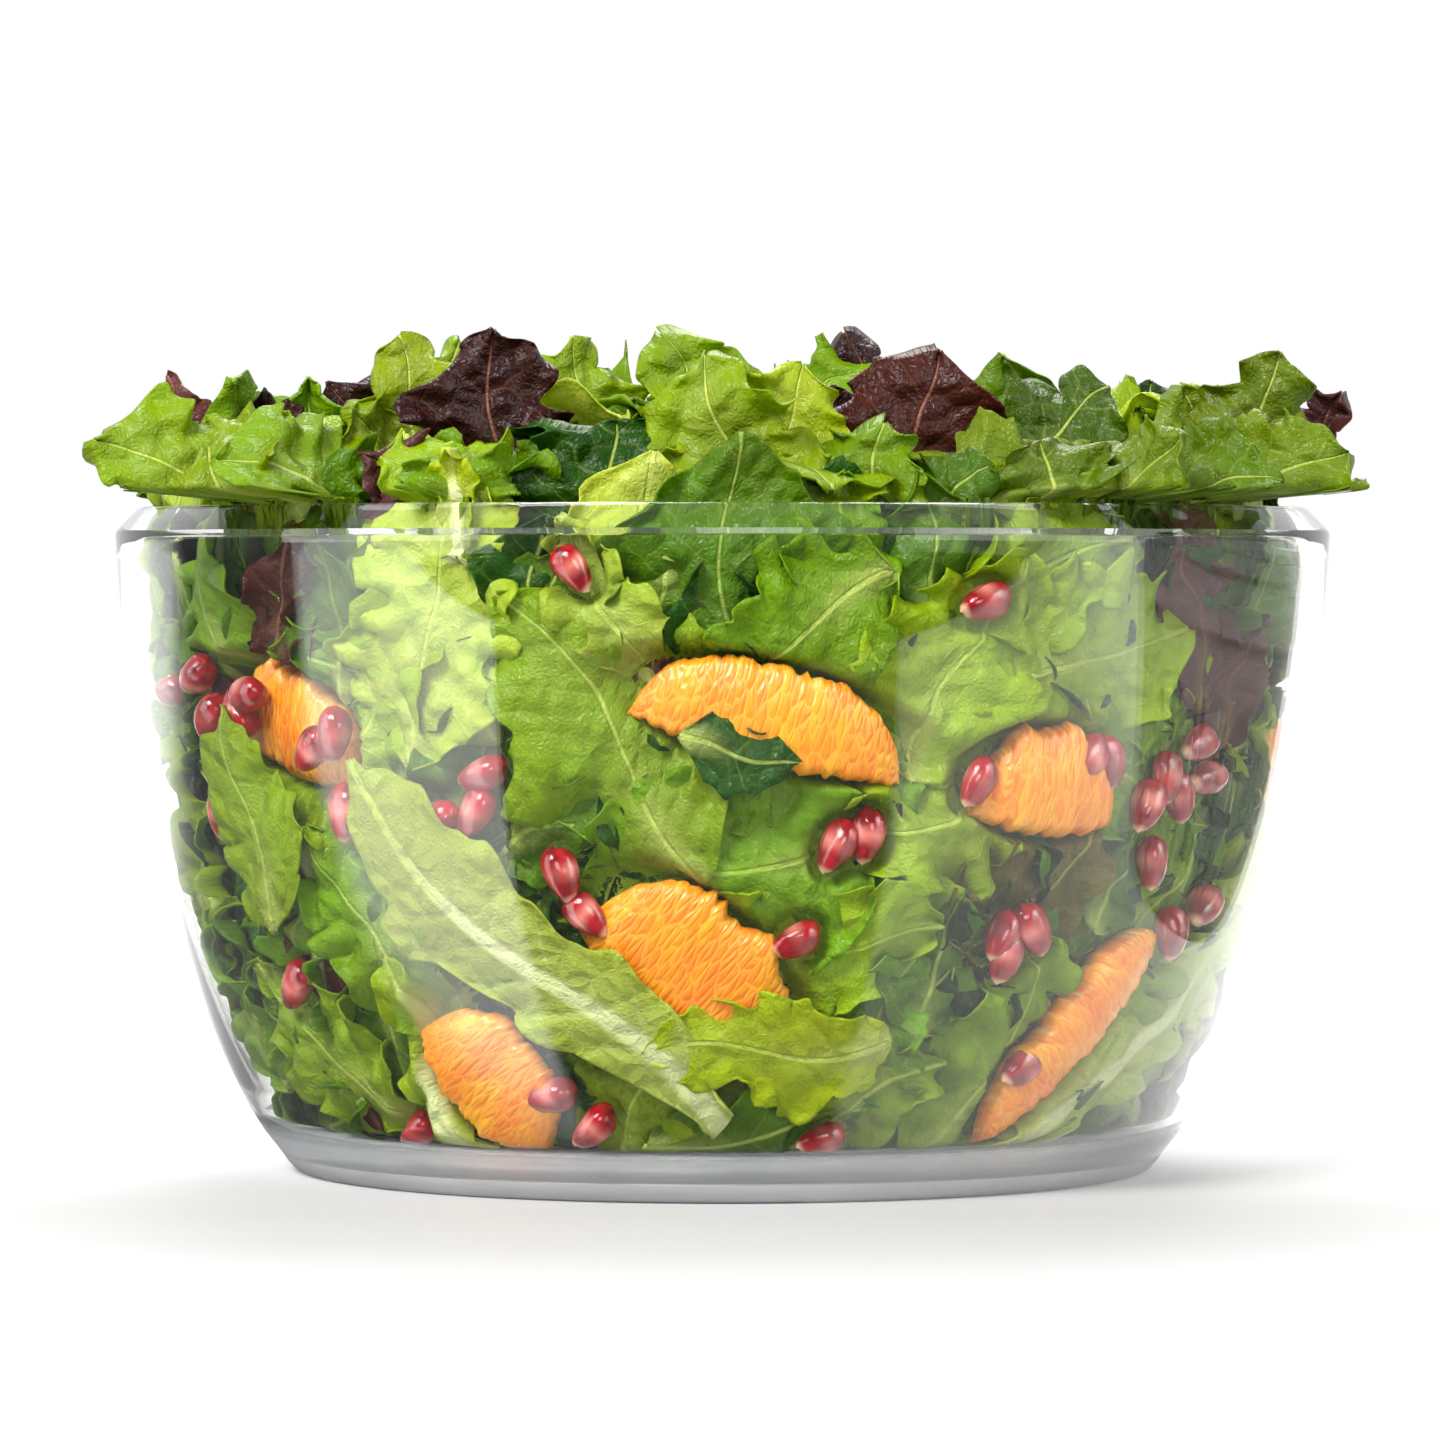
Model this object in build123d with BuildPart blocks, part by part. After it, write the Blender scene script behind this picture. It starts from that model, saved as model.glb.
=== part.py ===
"""Salad spinner, opened for serving: a clear bowl of salad, with the slotted
basket and its pump-drive lid standing beside the bowl on the same table.
Row frame: origin at the centre of the bowl's foot on the table, +Z up, the
basket and lid on the +X side, the salad's show side facing -Y.  Millimetres."""

import math
import os

from build123d import *

os.makedirs("parts", exist_ok=True)


def save(part, name):
    part.label = name
    export_step(part, f"parts/{name}.step")


# ------------------------------------------------------------------ dimensions
WALL = 3.0  # bowl wall
SHOULDER_R, SHOULDER_Z = 134.2, 140.6  # widest point, under the chamfered lip
RIM_R, RIM_Z = 128.8, 146.0  # top of the chamfered lip
FLOOR_LOW, FLOOR_TOP = 4.0, 8.2  # moulded floor of the bowl
FOOT_R = 97.6  # outer radius where the foot ring meets the bowl
PIVOT_TOP = 26.0  # tip of the moulded pivot that carries the basket
TIP_R = (3.4**2 + 3.0**2) / 6.0  # ball end of the pivot

AX = 312.0  # axis of the basket and lid, beside the bowl
BASKET_H = 128.0
BASKET_RIM_R = 121.0
BASKET_MOUTH_R = 116.8
LID_LOW = 122.0  # skirt's lower edge, lid resting on the basket
LID_R = 134.5
LID_FLAT_Z = 152.0  # flat land round the pump's well
WELL_R = 42.0
WELL_FLOOR_Z = 126.0
KNOB_R = 38.5
KNOB_LOW = 151.0
KNOB_TOP = 178.5
PUMP_TRAVEL = 24.0
TWIST_PITCH = 24.0  # one turn of the drive stem
DISC_LOW, DISC_TOP = 128.2, 130.2
BRAKE_Y = -94.0  # brake button, in front of the pump
BRAKE_TRAVEL = 3.0
LOCK_TRAVEL = 4.0

SIDE = Plane(origin=(AX, 0, 0), x_dir=(1, 0, 0), z_dir=(0, -1, 0))
SIDE_AXIS = Axis((AX, 0, 0), (0, 0, 1))

# outer line of the bowl's wall, radius and height
WALL_LINE = [
    (FOOT_R, FLOOR_LOW),
    (103.2, 11.5),
    (110.3, 24.5),
    (116.1, 37.7),
    (122.2, 55.3),
    (126.6, 73.0),
    (129.5, 90.5),
    (132.3, 117.0),
    (SHOULDER_R, SHOULDER_Z),
]


def inset(points, d):
    """The same line moved d towards the bowl's inside."""
    out = []
    for i, (r, z) in enumerate(points):
        r0, z0 = points[max(0, i - 1)]
        r1, z1 = points[min(len(points) - 1, i + 1)]
        length = math.hypot(r1 - r0, z1 - z0)
        out.append((r - d * (z1 - z0) / length, z + d * (r1 - r0) / length))
    return out


def inner_r(z, d):
    """Radius of the bowl's inside at a height, d in from the outer line."""
    line = inset(WALL_LINE, d)
    for (r0, z0), (r1, z1) in zip(line, line[1:]):
        if z0 <= z <= z1:
            return r0 + (r1 - r0) * (z - z0) / (z1 - z0)
    return line[0][0] if z < line[0][1] else line[-1][0]


# ------------------------------------------------------------------------ bowl
inner = inset(WALL_LINE, WALL)
with BuildPart() as bowl:
    with BuildSketch(Plane.XZ):
        with BuildLine():
            outer_line = Spline(*WALL_LINE)
            Polyline(
                outer_line @ 1,
                (RIM_R, RIM_Z),
                (RIM_R - 2.6, RIM_Z),
                (RIM_R - 2.9, RIM_Z - 1.3),
                (131.2, 139.4),
            )
            wall_in = Spline(
                (131.2, 139.4), *[p for p in reversed(inner[2:-1])], (100.6, 16.0),
                (95.4, 10.4), (88.0, FLOOR_TOP),
                tangents=[(-0.08, -1.0), (-1.0, -0.04)],
            )
            Polyline((88.0, FLOOR_TOP), (0, FLOOR_TOP), (0, FLOOR_LOW), outer_line @ 0)
        make_face()
    revolve(axis=Axis.Z)
    # moulded pivot for the basket, a cone with a ball end
    with BuildSketch(Plane.XZ):
        with BuildLine():
            Polyline((0, PIVOT_TOP), (0, FLOOR_TOP - 0.5), (9.5, FLOOR_TOP - 0.5), (8.2, FLOOR_TOP + 2), (3.4, PIVOT_TOP - 3.0))
            ThreePointArc((3.4, PIVOT_TOP - 3.0), (TIP_R * math.sin(0.7), PIVOT_TOP - TIP_R * (1 - math.cos(0.7))), (0, PIVOT_TOP))
        make_face()
    revolve(axis=Axis.Z)
    # groove under the floor for the foot ring's tongue
    with BuildSketch(Plane.XY.offset(FLOOR_LOW)):
        Circle(90.1)
        Circle(87.9, mode=Mode.SUBTRACT)
    extrude(amount=1.8, mode=Mode.SUBTRACT)
    # rounded lip and shoulder
    lip = bowl.edges().filter_by(GeomType.CIRCLE).filter_by(
        lambda e: abs(e.center().Z - RIM_Z) < 0.01
    )
    fillet(lip, 0.9)
    shoulder = bowl.edges().filter_by(GeomType.CIRCLE).filter_by(
        lambda e: abs(e.center().Z - SHOULDER_Z) < 0.01 and e.radius > 133
    )
    fillet(shoulder, 0.9)
save(bowl.part, "bowl")

with BuildPart() as foot_ring:
    with BuildSketch(Plane.XZ):
        with BuildLine():
            Polyline((FOOT_R - 0.1, FLOOR_LOW), (84.0, FLOOR_LOW), (84.0, 0.6), (84.6, 0), (93.0, 0))
            Spline((93.0, 0), (95.4, 1.2), (FOOT_R - 0.1, FLOOR_LOW), tangents=[(1, 0), (0.45, 1)])
        make_face()
    revolve(axis=Axis.Z)
    with BuildSketch(Plane.XY.offset(FLOOR_LOW - 0.5)):
        Circle(90.0)
        Circle(88.0, mode=Mode.SUBTRACT)
    extrude(amount=2.1)
save(foot_ring.part, "foot_ring")

# ----------------------------------------------------------------------- salad
GAP = 0.7
skin = inset(WALL_LINE, WALL + GAP)
core = inset(WALL_LINE, WALL + GAP + 14.0)
# angle round the bowl from the front (-Y) towards +X, and height of each aril
ARILS = [
    (-86, 105.5), (-75, 113), (-66.4, 96.5), (-58.5, 110), (-42.5, 98.5), (-49, 91), (-66.8, 80),
    (-43.4, 77), (-37, 82.5), (-22.8, 93.5), (-24.6, 80.6), (-30.9, 84), (-14.4, 131.5),
    (-18.2, 71.4), (-15.9, 62.5), (7.9, 56), (11.9, 75.7), (18.4, 78.6), (26.7, 125.6),
    (41.8, 96.5), (25.9, 90.8), (57.5, 99), (63, 90.5), (55.6, 87), (49.4, 84.8),
    (49, 73), (55.5, 70.0), (67.9, 60.1), (61.4, 52.6), (36.6, 61), (30.6, 52.6),
    (-57.2, 44.4), (-43.9, 22.5), (-18.6, 27.4), (-12.4, 20), (13.8, 20), (36, 27.5),
    (71.6, 77.1),
    (100, 60), (118, 95), (140, 48), (150, 110), (172, 72), (-165, 98), (-150, 55),
    (-132, 84), (-115, 40), (-104, 112),
]
# angle, height, tilt of the long side, length, height of the crescent, depth in from the wall
ORANGES = [
    (-57.0, 103.5, -18, 40, 17, 13.4),
    (4.5, 104.0, -14, 60, 20, 7.0),
    (36.0, 84.5, -6, 36, 15, 13.2),
    (-3.5, 50.5, -38, 44, 17, 6.0),
    (-30.1, 37.0, -52, 36, 19, 6.0),
    (47.7, 40.0, 52, 46, 12, 6.0),
    (88.0, 92.0, 20, 44, 18, 6.0),
    (128.0, 66.0, -30, 44, 18, 6.0),
    (165.0, 104.0, 12, 44, 18, 6.0),
    (-142.0, 110.0, 28, 44, 18, 6.0),
    (-118.0, 66.0, -24, 44, 18, 6.0),
    (-172.0, 42.0, 40, 40, 17, 6.0),
]


def wall_plane(angle, z, depth, tilt=0.0):
    """A plane facing out through the bowl's wall at an angle and a height, depth inside the wall."""
    a = math.radians(angle)
    out = Vector(math.sin(a), -math.cos(a), 0)
    lean = math.atan2(inner_r(z + 8, WALL) - inner_r(z - 8, WALL), 16.0)
    normal = Vector(out.X * math.cos(lean), out.Y * math.cos(lean), -math.sin(lean))
    side = Vector(math.cos(a), math.sin(a), 0)
    up = normal.cross(side)
    t = math.radians(tilt)
    x_dir = side * math.cos(t) + up * math.sin(t)
    at = out * inner_r(z, WALL) + Vector(0, 0, z) - normal * depth
    return Plane(origin=at, x_dir=x_dir, z_dir=normal)


ORANGE_T = 10.0
with BuildPart() as orange_segments:
    for angle, z, tilt, length, rise, depth in ORANGES:
        with BuildSketch(wall_plane(angle, z, depth, tilt)):
            with BuildLine():
                ThreePointArc((-length / 2, -rise * 0.3), (0, rise * 0.7), (length / 2, -rise * 0.3))
                ThreePointArc((length / 2, -rise * 0.3), (0, -rise * 0.42), (-length / 2, -rise * 0.3))
            make_face()
        extrude(amount=-ORANGE_T)
save(orange_segments.part, "orange_segments")

ARIL_R, ARIL_L = 4.6, 5.8
with BuildPart() as aril:
    with BuildSketch(Plane.XZ):
        with BuildLine():
            Spline((0, -ARIL_L), (ARIL_R * 0.86, -ARIL_L * 0.55), (ARIL_R, 0), (ARIL_R * 0.8, ARIL_L * 0.6), (0, ARIL_L), tangents=[(1, 0), (-1, 0)])
            Line((0, ARIL_L), (0, -ARIL_L))
        make_face()
    revolve(axis=Axis.Z)
aril_places = []
for i, (angle, z) in enumerate(ARILS):
    depth = ARIL_R + 1.6
    plane = wall_plane(angle, z, depth, tilt=(i * 47) % 180)
    aril_places.append(plane.location * Location((0, 0, 0), (90, 0, 0)))
with BuildPart() as pomegranate_arils:
    with Locations(*aril_places):
        add(aril.part)
save(pomegranate_arils.part, "pomegranate_arils")

# leaves that stand out of the mound: angle, radius, height, lean out, roll, size
LEAVES = [
    (-84, 112, 158, 62, 12, 0.9), (-58, 112, 160, 36, -20, 0.85), (-36, 111, 162, 22, 15, 0.92), (-14, 111, 163, 30, -12, 0.95),
    (8, 111, 163, 18, 18, 0.95), (31, 111, 162, 34, -16, 0.95), (58, 112, 160, 44, -15, 0.92), (86, 112, 157, 60, 14, 0.9),
    (112, 111, 160, 36, -14, 0.92), (137, 111, 161, 24, 12, 0.92), (163, 111, 160, 40, -10, 0.92), (-171, 111, 161, 26, 15, 0.92),
    (-146, 111, 160, 38, -16, 0.92), (-118, 111, 160, 28, 12, 0.92),
    (-70, 76, 167, 48, 20, 0.95), (-24, 74, 167, -44, -18, 0.95), (24, 76, 167, 54, 16, 0.95), (70, 76, 167, -46, -18, 0.95),
    (116, 76, 167, 50, 12, 0.95), (160, 76, 167, 44, -14, 0.95), (-156, 76, 167, -46, 18, 0.95), (-112, 76, 167, 50, -10, 0.95),
    (-60, 34, 170, -52, 10, 0.95), (40, 34, 170, 54, -20, 0.95), (170, 34, 170, 52, 16, 0.95),
]
LEAF = [(0, -20), (7, -13), (15, -9), (12, -2), (20, 5), (14, 9), (13, 17), (5, 17), (0, 22), (-6, 17), (-13, 16), (-14, 8), (-20, 3), (-12, -3), (-15, -10), (-6, -13)]
with BuildPart() as rim_leaves:
    for angle, radius, z, lean, roll, size in LEAVES:
        a, t, w = math.radians(angle), math.radians(lean), math.radians(roll)
        out = Vector(math.sin(a), -math.cos(a), 0)
        side = Vector(math.cos(a), math.sin(a), 0)
        up = out * math.sin(t) + Vector(0, 0, math.cos(t))
        x_dir = side * math.cos(w) + up * math.sin(w)
        face = x_dir.cross(up * math.cos(w) - side * math.sin(w))
        with BuildSketch(Plane(origin=out * radius + Vector(0, 0, z), x_dir=x_dir, z_dir=face)):
            with BuildLine():
                Spline(*[(x * size, y * size) for x, y in LEAF], periodic=True)
            make_face()
        extrude(amount=0.9, both=True)
save(rim_leaves.part, "rim_leaves")

with BuildPart() as salad_greens:
    with BuildSketch(Plane.XZ):
        with BuildLine():
            Polyline((0, 173.0), (0, FLOOR_TOP + GAP), (86, FLOOR_TOP + GAP), (96.0, 13.5), (103.0, 22.0))
            Spline((103.0, 22.0), *skin[3:8], (126.0, 138.6))
            Polyline((126.0, 138.6), (124.6, 147.2), (131.6, 148.6))
            Spline((131.6, 148.6), (132.5, 157.0), (121.0, 165.0), (84.0, 171.0), (0, 173.0))
        make_face()
    revolve(axis=Axis.Z)
    # the mound is hollow, so that its solid holds what loose leaves really weigh
    with BuildSketch(Plane.XZ):
        with BuildLine():
            Polyline((0, 160.0), (0, 20.5), (86, 20.5), (96.0, 30.0), *core[3:8], (111.0, 138.0), (111.0, 154.0), (0, 160.0))
        make_face()
    revolve(axis=Axis.Z, mode=Mode.SUBTRACT)
    with Locations((0, 0, 18)):
        Cylinder(12.0, 26.0, mode=Mode.SUBTRACT)
    # room for the orange and the arils, which lie against the wall
    for angle, z, tilt, length, rise, depth in ORANGES:
        deep = 12.0 + depth + ORANGE_T + 0.8
        with Locations(wall_plane(angle, z, depth + ORANGE_T + 0.8, tilt).location * Location((0, rise * 0.15, deep / 2))):
            Box(length + 2.0, rise * 1.25 + 2.0, deep, mode=Mode.SUBTRACT)
    for i, (angle, z) in enumerate(ARILS):
        deep = 12.0 + 12.4
        with Locations(wall_plane(angle, z, 12.4, (i * 47) % 180).location * Location((0, 0, deep / 2))):
            Box(12.6, 12.6, deep, mode=Mode.SUBTRACT)
save(salad_greens.part, "salad_greens")

# ---------------------------------------------------------------------- basket
N_SLOTS = 32
with BuildPart() as basket:
    with BuildSketch(SIDE):
        with BuildLine():
            Polyline(
                (0, 2.6), (78.0, 2.6), (79.0, 0), (83.0, 0), (84.5, 2.8), (91.0, 8.0), (96.0, 20.0),
                (113.0, 92.0), (116.6, 106.0), (119.2, 107.5), (119.2, 122.0), (BASKET_RIM_R, 124.0), (BASKET_RIM_R, BASKET_H),
                (BASKET_MOUTH_R, BASKET_H), (BASKET_MOUTH_R, 108.0), (110.6, 92.4), (93.7, 20.6), (88.8, 9.4), (82.0, 5.0), (0, 5.0), (0, 2.6),
            )
        make_face()
    revolve(axis=SIDE_AXIS)
    # pivot socket in the middle of the floor
    with BuildSketch(Plane(origin=(AX, 0, 3.0), z_dir=(0, 0, 1))):
        Circle(11.5)
    extrude(amount=11.0, taper=8)
    with BuildSketch(Plane(origin=(AX, 0, 0), z_dir=(0, 0, 1))):
        Circle(7.4)
    extrude(amount=10.5, taper=14, mode=Mode.SUBTRACT)
    # two rows of drain slots round the wall
    rows = [(35.0, 26.0, 0.0), (72.0, 36.0, 0.5)]
    for zc, tall, shift in rows:
        planes = []
        for k in range(N_SLOTS):
            a = 2 * math.pi * (k + shift) / N_SLOTS
            planes.append(Plane(origin=(AX + 70 * math.cos(a), 70 * math.sin(a), zc), x_dir=(-math.sin(a), math.cos(a), 0), z_dir=(math.cos(a), math.sin(a), 0)))
        with BuildSketch(*planes):
            SlotOverall(tall, 3.6, rotation=90)
        extrude(amount=60, mode=Mode.SUBTRACT)
    # drain slots in the floor
    with BuildSketch(Plane(origin=(AX, 0, 0), z_dir=(0, 0, 1))):
        with PolarLocations(60, 24):
            SlotOverall(24, 3.4)
        with PolarLocations(30, 12):
            SlotOverall(20, 3.4)
    extrude(amount=12, mode=Mode.SUBTRACT)
save(basket.part, "basket")

# ------------------------------------------------------------------- lid body
with BuildPart() as lid_shell:
    with BuildSketch(SIDE):
        with BuildLine():
            Polyline(
                (131.7, LID_LOW), (LID_R, LID_LOW), (LID_R, 132.6), (131.2, 137.4), (126.0, 139.5),
                (64.0, LID_FLAT_Z), (43.0, LID_FLAT_Z), (43.0, 149.6), (63.6, 149.6), (125.4, 137.1),
                (129.4, 135.5), (131.7, 132.0), (131.7, LID_LOW),
            )
        make_face()
    revolve(axis=SIDE_AXIS)
    fillet(
        lid_shell.edges().filter_by(GeomType.CIRCLE).filter_by(
            lambda e: (abs(e.center().Z - 132.6) < 0.01 or abs(e.center().Z - 137.4) < 0.01 or abs(e.center().Z - 139.5) < 0.01)
        ),
        1.6,
    )
    # boss and guide tube for the brake button
    with Locations((AX, BRAKE_Y, 145.3)):
        Cylinder(15.0, 7.4)
    with Locations((AX, BRAKE_Y, 144.5)):
        Cylinder(10.5, 11.0)
    with Locations((AX, BRAKE_Y, 145.0)):
        Cylinder(8.3, 16.0, mode=Mode.SUBTRACT)
    # slot for the lock slider's thumb tab
    with Locations((AX + 51.5, 0, 151.0)):
        Box(15.0, 8.8, 6.0, mode=Mode.SUBTRACT)
    # screw holes, from below
    with Locations(Location((AX, 0, 150.5))):
        with PolarLocations(53.0, 3, start_angle=60):
            Cylinder(1.7, 6.0, mode=Mode.SUBTRACT)
save(lid_shell.part, "lid_shell")

with BuildPart() as pump_housing:
    with BuildSketch(SIDE):
        with BuildLine():
            Polyline(
                (WELL_R, LID_FLAT_Z), (63.0, LID_FLAT_Z), (63.0, 153.4), (62.0, 154.4), (41.2, 154.4),
                (39.8, 153.0), (39.8, WELL_FLOOR_Z), (35.9, WELL_FLOOR_Z), (35.9, 148.0), (33.9, 148.0),
                (33.9, WELL_FLOOR_Z), (18.1, WELL_FLOOR_Z), (18.1, 123.5), (WELL_R, 123.5), (WELL_R, LID_FLAT_Z),
            )
        make_face()
    revolve(axis=SIDE_AXIS)
    with Locations((AX + 51.5, 0, 153.0)):
        Box(15.0, 8.8, 6.0, mode=Mode.SUBTRACT)
    # channel that guides the lock slider, with its window through the well
    with Locations((AX + 50.4, 0, 146.4)):
        Box(17.2, 16.0, 6.2)
    with Locations((AX + 49.0, 0, 147.45)):
        Box(22.0, 12.8, 4.2, mode=Mode.SUBTRACT)
    with Locations(Location((AX, 0, 152.9))):
        with PolarLocations(53.0, 3, start_angle=60):
            Cylinder(1.6, 1.8, mode=Mode.SUBTRACT)
save(pump_housing.part, "pump_housing")

with BuildPart() as bearing_bush:
    with BuildSketch(SIDE):
        with BuildLine():
            Polyline((15.98, 123.2), (18.0, 123.2), (18.0, WELL_FLOOR_Z), (21.0, WELL_FLOOR_Z), (21.0, 127.0), (15.98, 127.0), (15.98, 123.2))
        make_face()
    revolve(axis=SIDE_AXIS)
save(bearing_bush.part, "bearing_bush")

with BuildPart() as housing_screws:
    with Locations(Location((AX, 0, 150.5))):
        with PolarLocations(53.0, 3, start_angle=60):
            Cylinder(1.5, 6.2)
    with Locations(Location((AX, 0, 148.35))):
        with PolarLocations(53.0, 3, start_angle=60):
            Cylinder(3.1, 2.5)
    with Locations(Location((AX, 0, 147.3))):
        with PolarLocations(53.0, 3, start_angle=60):
            Box(4.2, 0.9, 1.2, mode=Mode.SUBTRACT)
            Box(0.9, 4.2, 1.2, mode=Mode.SUBTRACT)
save(housing_screws.part, "housing_screws")

# ------------------------------------------------------------------ drive disc
with BuildPart() as drive_disc:
    with BuildSketch(SIDE):
        with BuildLine():
            Polyline(
                (0, 92.0), (14.0, 92.0), (15.0, 93.0), (15.9, 119.0), (46.5, 119.0), (46.5, DISC_LOW),
                (113.4, DISC_LOW), (113.4, 120.0), (115.6, 120.0), (116.3, 121.0), (116.3, DISC_LOW), (119.4, DISC_LOW),
                (119.4, DISC_TOP), (44.5, DISC_TOP), (44.5, 121.0), (15.9, 121.0), (15.9, 127.2), (15.1, 127.2),
                (15.1, 128.6), (15.9, 128.6), (15.9, 129.0), (11.6, 129.0), (11.6, 121.0), (7.0, 121.0), (7.0, 94.0), (0, 94.0), (0, 92.0),
            )
        make_face()
    revolve(axis=SIDE_AXIS)
    # stiffening ribs on top of the flange, under the sweep of nothing that turns
    with Locations(Location((AX, 0, 125.5))):
        with PolarLocations(80.0, 12, start_angle=15):
            Box(66.0, 1.6, 5.4)
save(drive_disc.part, "drive_disc")

with BuildPart() as one_way_clutch:
    with BuildSketch(Plane(origin=(AX, 0, 121.2), z_dir=(0, 0, 1))):
        Circle(11.5)
        Circle(9.06, mode=Mode.SUBTRACT)
    extrude(amount=7.6)
    # the sprag pockets
    with BuildSketch(Plane(origin=(AX, 0, 128.8), z_dir=(0, 0, 1))):
        with PolarLocations(10.3, 10):
            Circle(0.75)
    extrude(amount=-1.2, mode=Mode.SUBTRACT)
save(one_way_clutch.part, "one_way_clutch")

with BuildPart() as retaining_ring:
    with BuildSketch(Plane(origin=(AX, 0, 127.3), z_dir=(0, 0, 1))):
        Circle(19.5)
        Circle(15.15, mode=Mode.SUBTRACT)
        with Locations((-17.0, 0)):
            Rectangle(8.0, 7.0, mode=Mode.SUBTRACT)
    extrude(amount=1.2)
save(retaining_ring.part, "retaining_ring")


def twist_planes(low, high, n):
    """Planes up the drive stem, each turned with the stem's pitch."""
    out = []
    for k in range(n + 1):
        z = low + (high - low) * k / n
        a = 2 * math.pi * z / TWIST_PITCH
        out.append(Plane(origin=(AX, 0, z), x_dir=(math.cos(a), math.sin(a), 0), z_dir=(0, 0, 1)))
    return out


with BuildPart() as drive_nut:
    with BuildSketch(Plane(origin=(AX, 0, 121.3), z_dir=(0, 0, 1))):
        Circle(9.0)
    extrude(amount=7.9)
    with BuildSketch(Plane(origin=(AX, 0, 129.2), z_dir=(0, 0, 1))):
        Circle(13.0)
    extrude(amount=1.8)
    for plane in twist_planes(120.3, 131.8, 7):
        with BuildSketch(plane):
            Rectangle(9.9, 3.9)
    loft(mode=Mode.SUBTRACT)
save(drive_nut.part, "drive_nut")

# ------------------------------------------------------------------- pump knob
with BuildPart() as pump_knob:
    with BuildSketch(SIDE):
        with BuildLine():
            Polyline((36.3, KNOB_LOW), (KNOB_R, KNOB_LOW), (KNOB_R, 174.0))
            ThreePointArc((KNOB_R, 174.0), (34.0 + 4.5 * math.sin(0.9), 174.0 + 4.5 * math.cos(0.9)), (34.0, KNOB_TOP))
            Polyline((34.0, KNOB_TOP), (3.6, KNOB_TOP), (3.6, 175.8), (1.8, 175.8), (1.8, 172.2), (5.1, 172.2), (5.1, 165.0), (8.5, 165.0), (8.5, 175.9), (33.6, 175.9))
            ThreePointArc((33.6, 175.9), (35.5, 175.1), (36.3, 173.2))
            Line((36.3, 173.2), (36.3, KNOB_LOW))
        make_face()
    revolve(axis=SIDE_AXIS)
    # window that the lock slider enters when the knob is down
    with Locations((AX + 37.0, 0, 147.0 + PUMP_TRAVEL)):
        Box(6.0, 14.0, 4.2, mode=Mode.SUBTRACT)
save(pump_knob.part, "pump_knob")

with BuildPart() as knob_grip:
    with BuildSketch(SIDE):
        with BuildLine():
            Polyline((0, 184.6), (0, KNOB_TOP), (33.6, KNOB_TOP))
            Spline((33.6, KNOB_TOP), (33.0, 181.0), (24.0, 183.8), (0, 184.6), tangents=[(0.2, 1), (-1, 0)])
        make_face()
    revolve(axis=SIDE_AXIS)
save(knob_grip.part, "knob_grip")

with BuildPart() as stem_screw:
    with BuildSketch(SIDE):
        with BuildLine():
            Polyline((0, 167.2), (1.5, 167.2), (1.5, 175.8), (3.2, 175.8), (3.2, 177.2), (2.4, 178.1), (0, 178.1), (0, 167.2))
        make_face()
    revolve(axis=SIDE_AXIS)
    with Locations((AX, 0, 177.9)):
        Box(4.4, 0.9, 1.6, mode=Mode.SUBTRACT)
        Box(0.9, 4.4, 1.6, mode=Mode.SUBTRACT)
save(stem_screw.part, "stem_screw")

with BuildPart() as drive_stem:
    for plane in twist_planes(118.6, 163.0, 22):
        with BuildSketch(plane):
            Rectangle(9.0, 3.0)
    loft()
    with BuildSketch(SIDE):
        with BuildLine():
            Polyline((0, 162.6), (7.2, 162.6), (7.2, 165.0), (5.0, 165.0), (5.0, 172.0), (1.6, 172.0), (1.6, 166.9), (0, 166.9), (0, 162.6))
        make_face()
    revolve(axis=SIDE_AXIS)
save(drive_stem.part, "drive_stem")

SPRING_R, SPRING_WIRE = 26.0, 0.8
with BuildPart() as return_spring:
    with BuildLine() as coil:
        Helix(pitch=6.8, height=47.6, radius=SPRING_R, center=(AX, 0, WELL_FLOOR_Z + 1.0))
    with BuildSketch(Plane(origin=coil.line @ 0, z_dir=coil.line % 0)):
        Circle(SPRING_WIRE)
    sweep(path=coil.line, is_frenet=True)
save(return_spring.part, "return_spring")

# ---------------------------------------------------------------- brake button
with BuildPart() as brake_button:
    with Locations((AX, BRAKE_Y, 144.6)):
        Cylinder(8.0, 17.2)
    with BuildSketch(Plane(origin=(AX, BRAKE_Y, 153.2), z_dir=(0, 0, 1))):
        Circle(14.0)
    extrude(amount=5.0)
    fillet(
        brake_button.edges().filter_by(GeomType.CIRCLE).filter_by(
            lambda e: abs(e.center().Z - 158.2) < 0.01 and e.radius > 13
        ),
        3.0,
    )
save(brake_button.part, "brake_button")

with BuildPart() as brake_pad:
    with Locations((AX, BRAKE_Y, 134.7)):
        Cylinder(7.2, 2.6)
save(brake_pad.part, "brake_pad")

with BuildPart() as brake_spring:
    with BuildLine() as small_coil:
        Helix(pitch=1.5, height=3.0, radius=11.8, center=(AX, BRAKE_Y, 149.7))
    with BuildSketch(Plane(origin=small_coil.line @ 0, z_dir=small_coil.line % 0)):
        Circle(0.4)
    sweep(path=small_coil.line, is_frenet=True)
save(brake_spring.part, "brake_spring")

# ----------------------------------------------------------------- lock slider
with BuildPart() as lock_slider:
    with Locations((AX + 47.9, 0, 147.0)):
        Box(14.8, 12.0, 3.0)
    with Locations((AX + 52.0, 0, 152.4)):
        Box(4.6, 8.0, 8.4)
    with Locations((AX + 52.0, 0, 157.1)):
        Box(8.0, 12.0, 2.4)
    fillet(lock_slider.edges().filter_by(Axis.Z).group_by(Axis.Z)[-1], 1.5)
save(lock_slider.part, "lock_slider")
print("done")
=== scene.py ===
"""Look of the salad spinner used for serving: clear bowl with salad, and the basket and
pump lid standing beside it."""
import math

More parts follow.
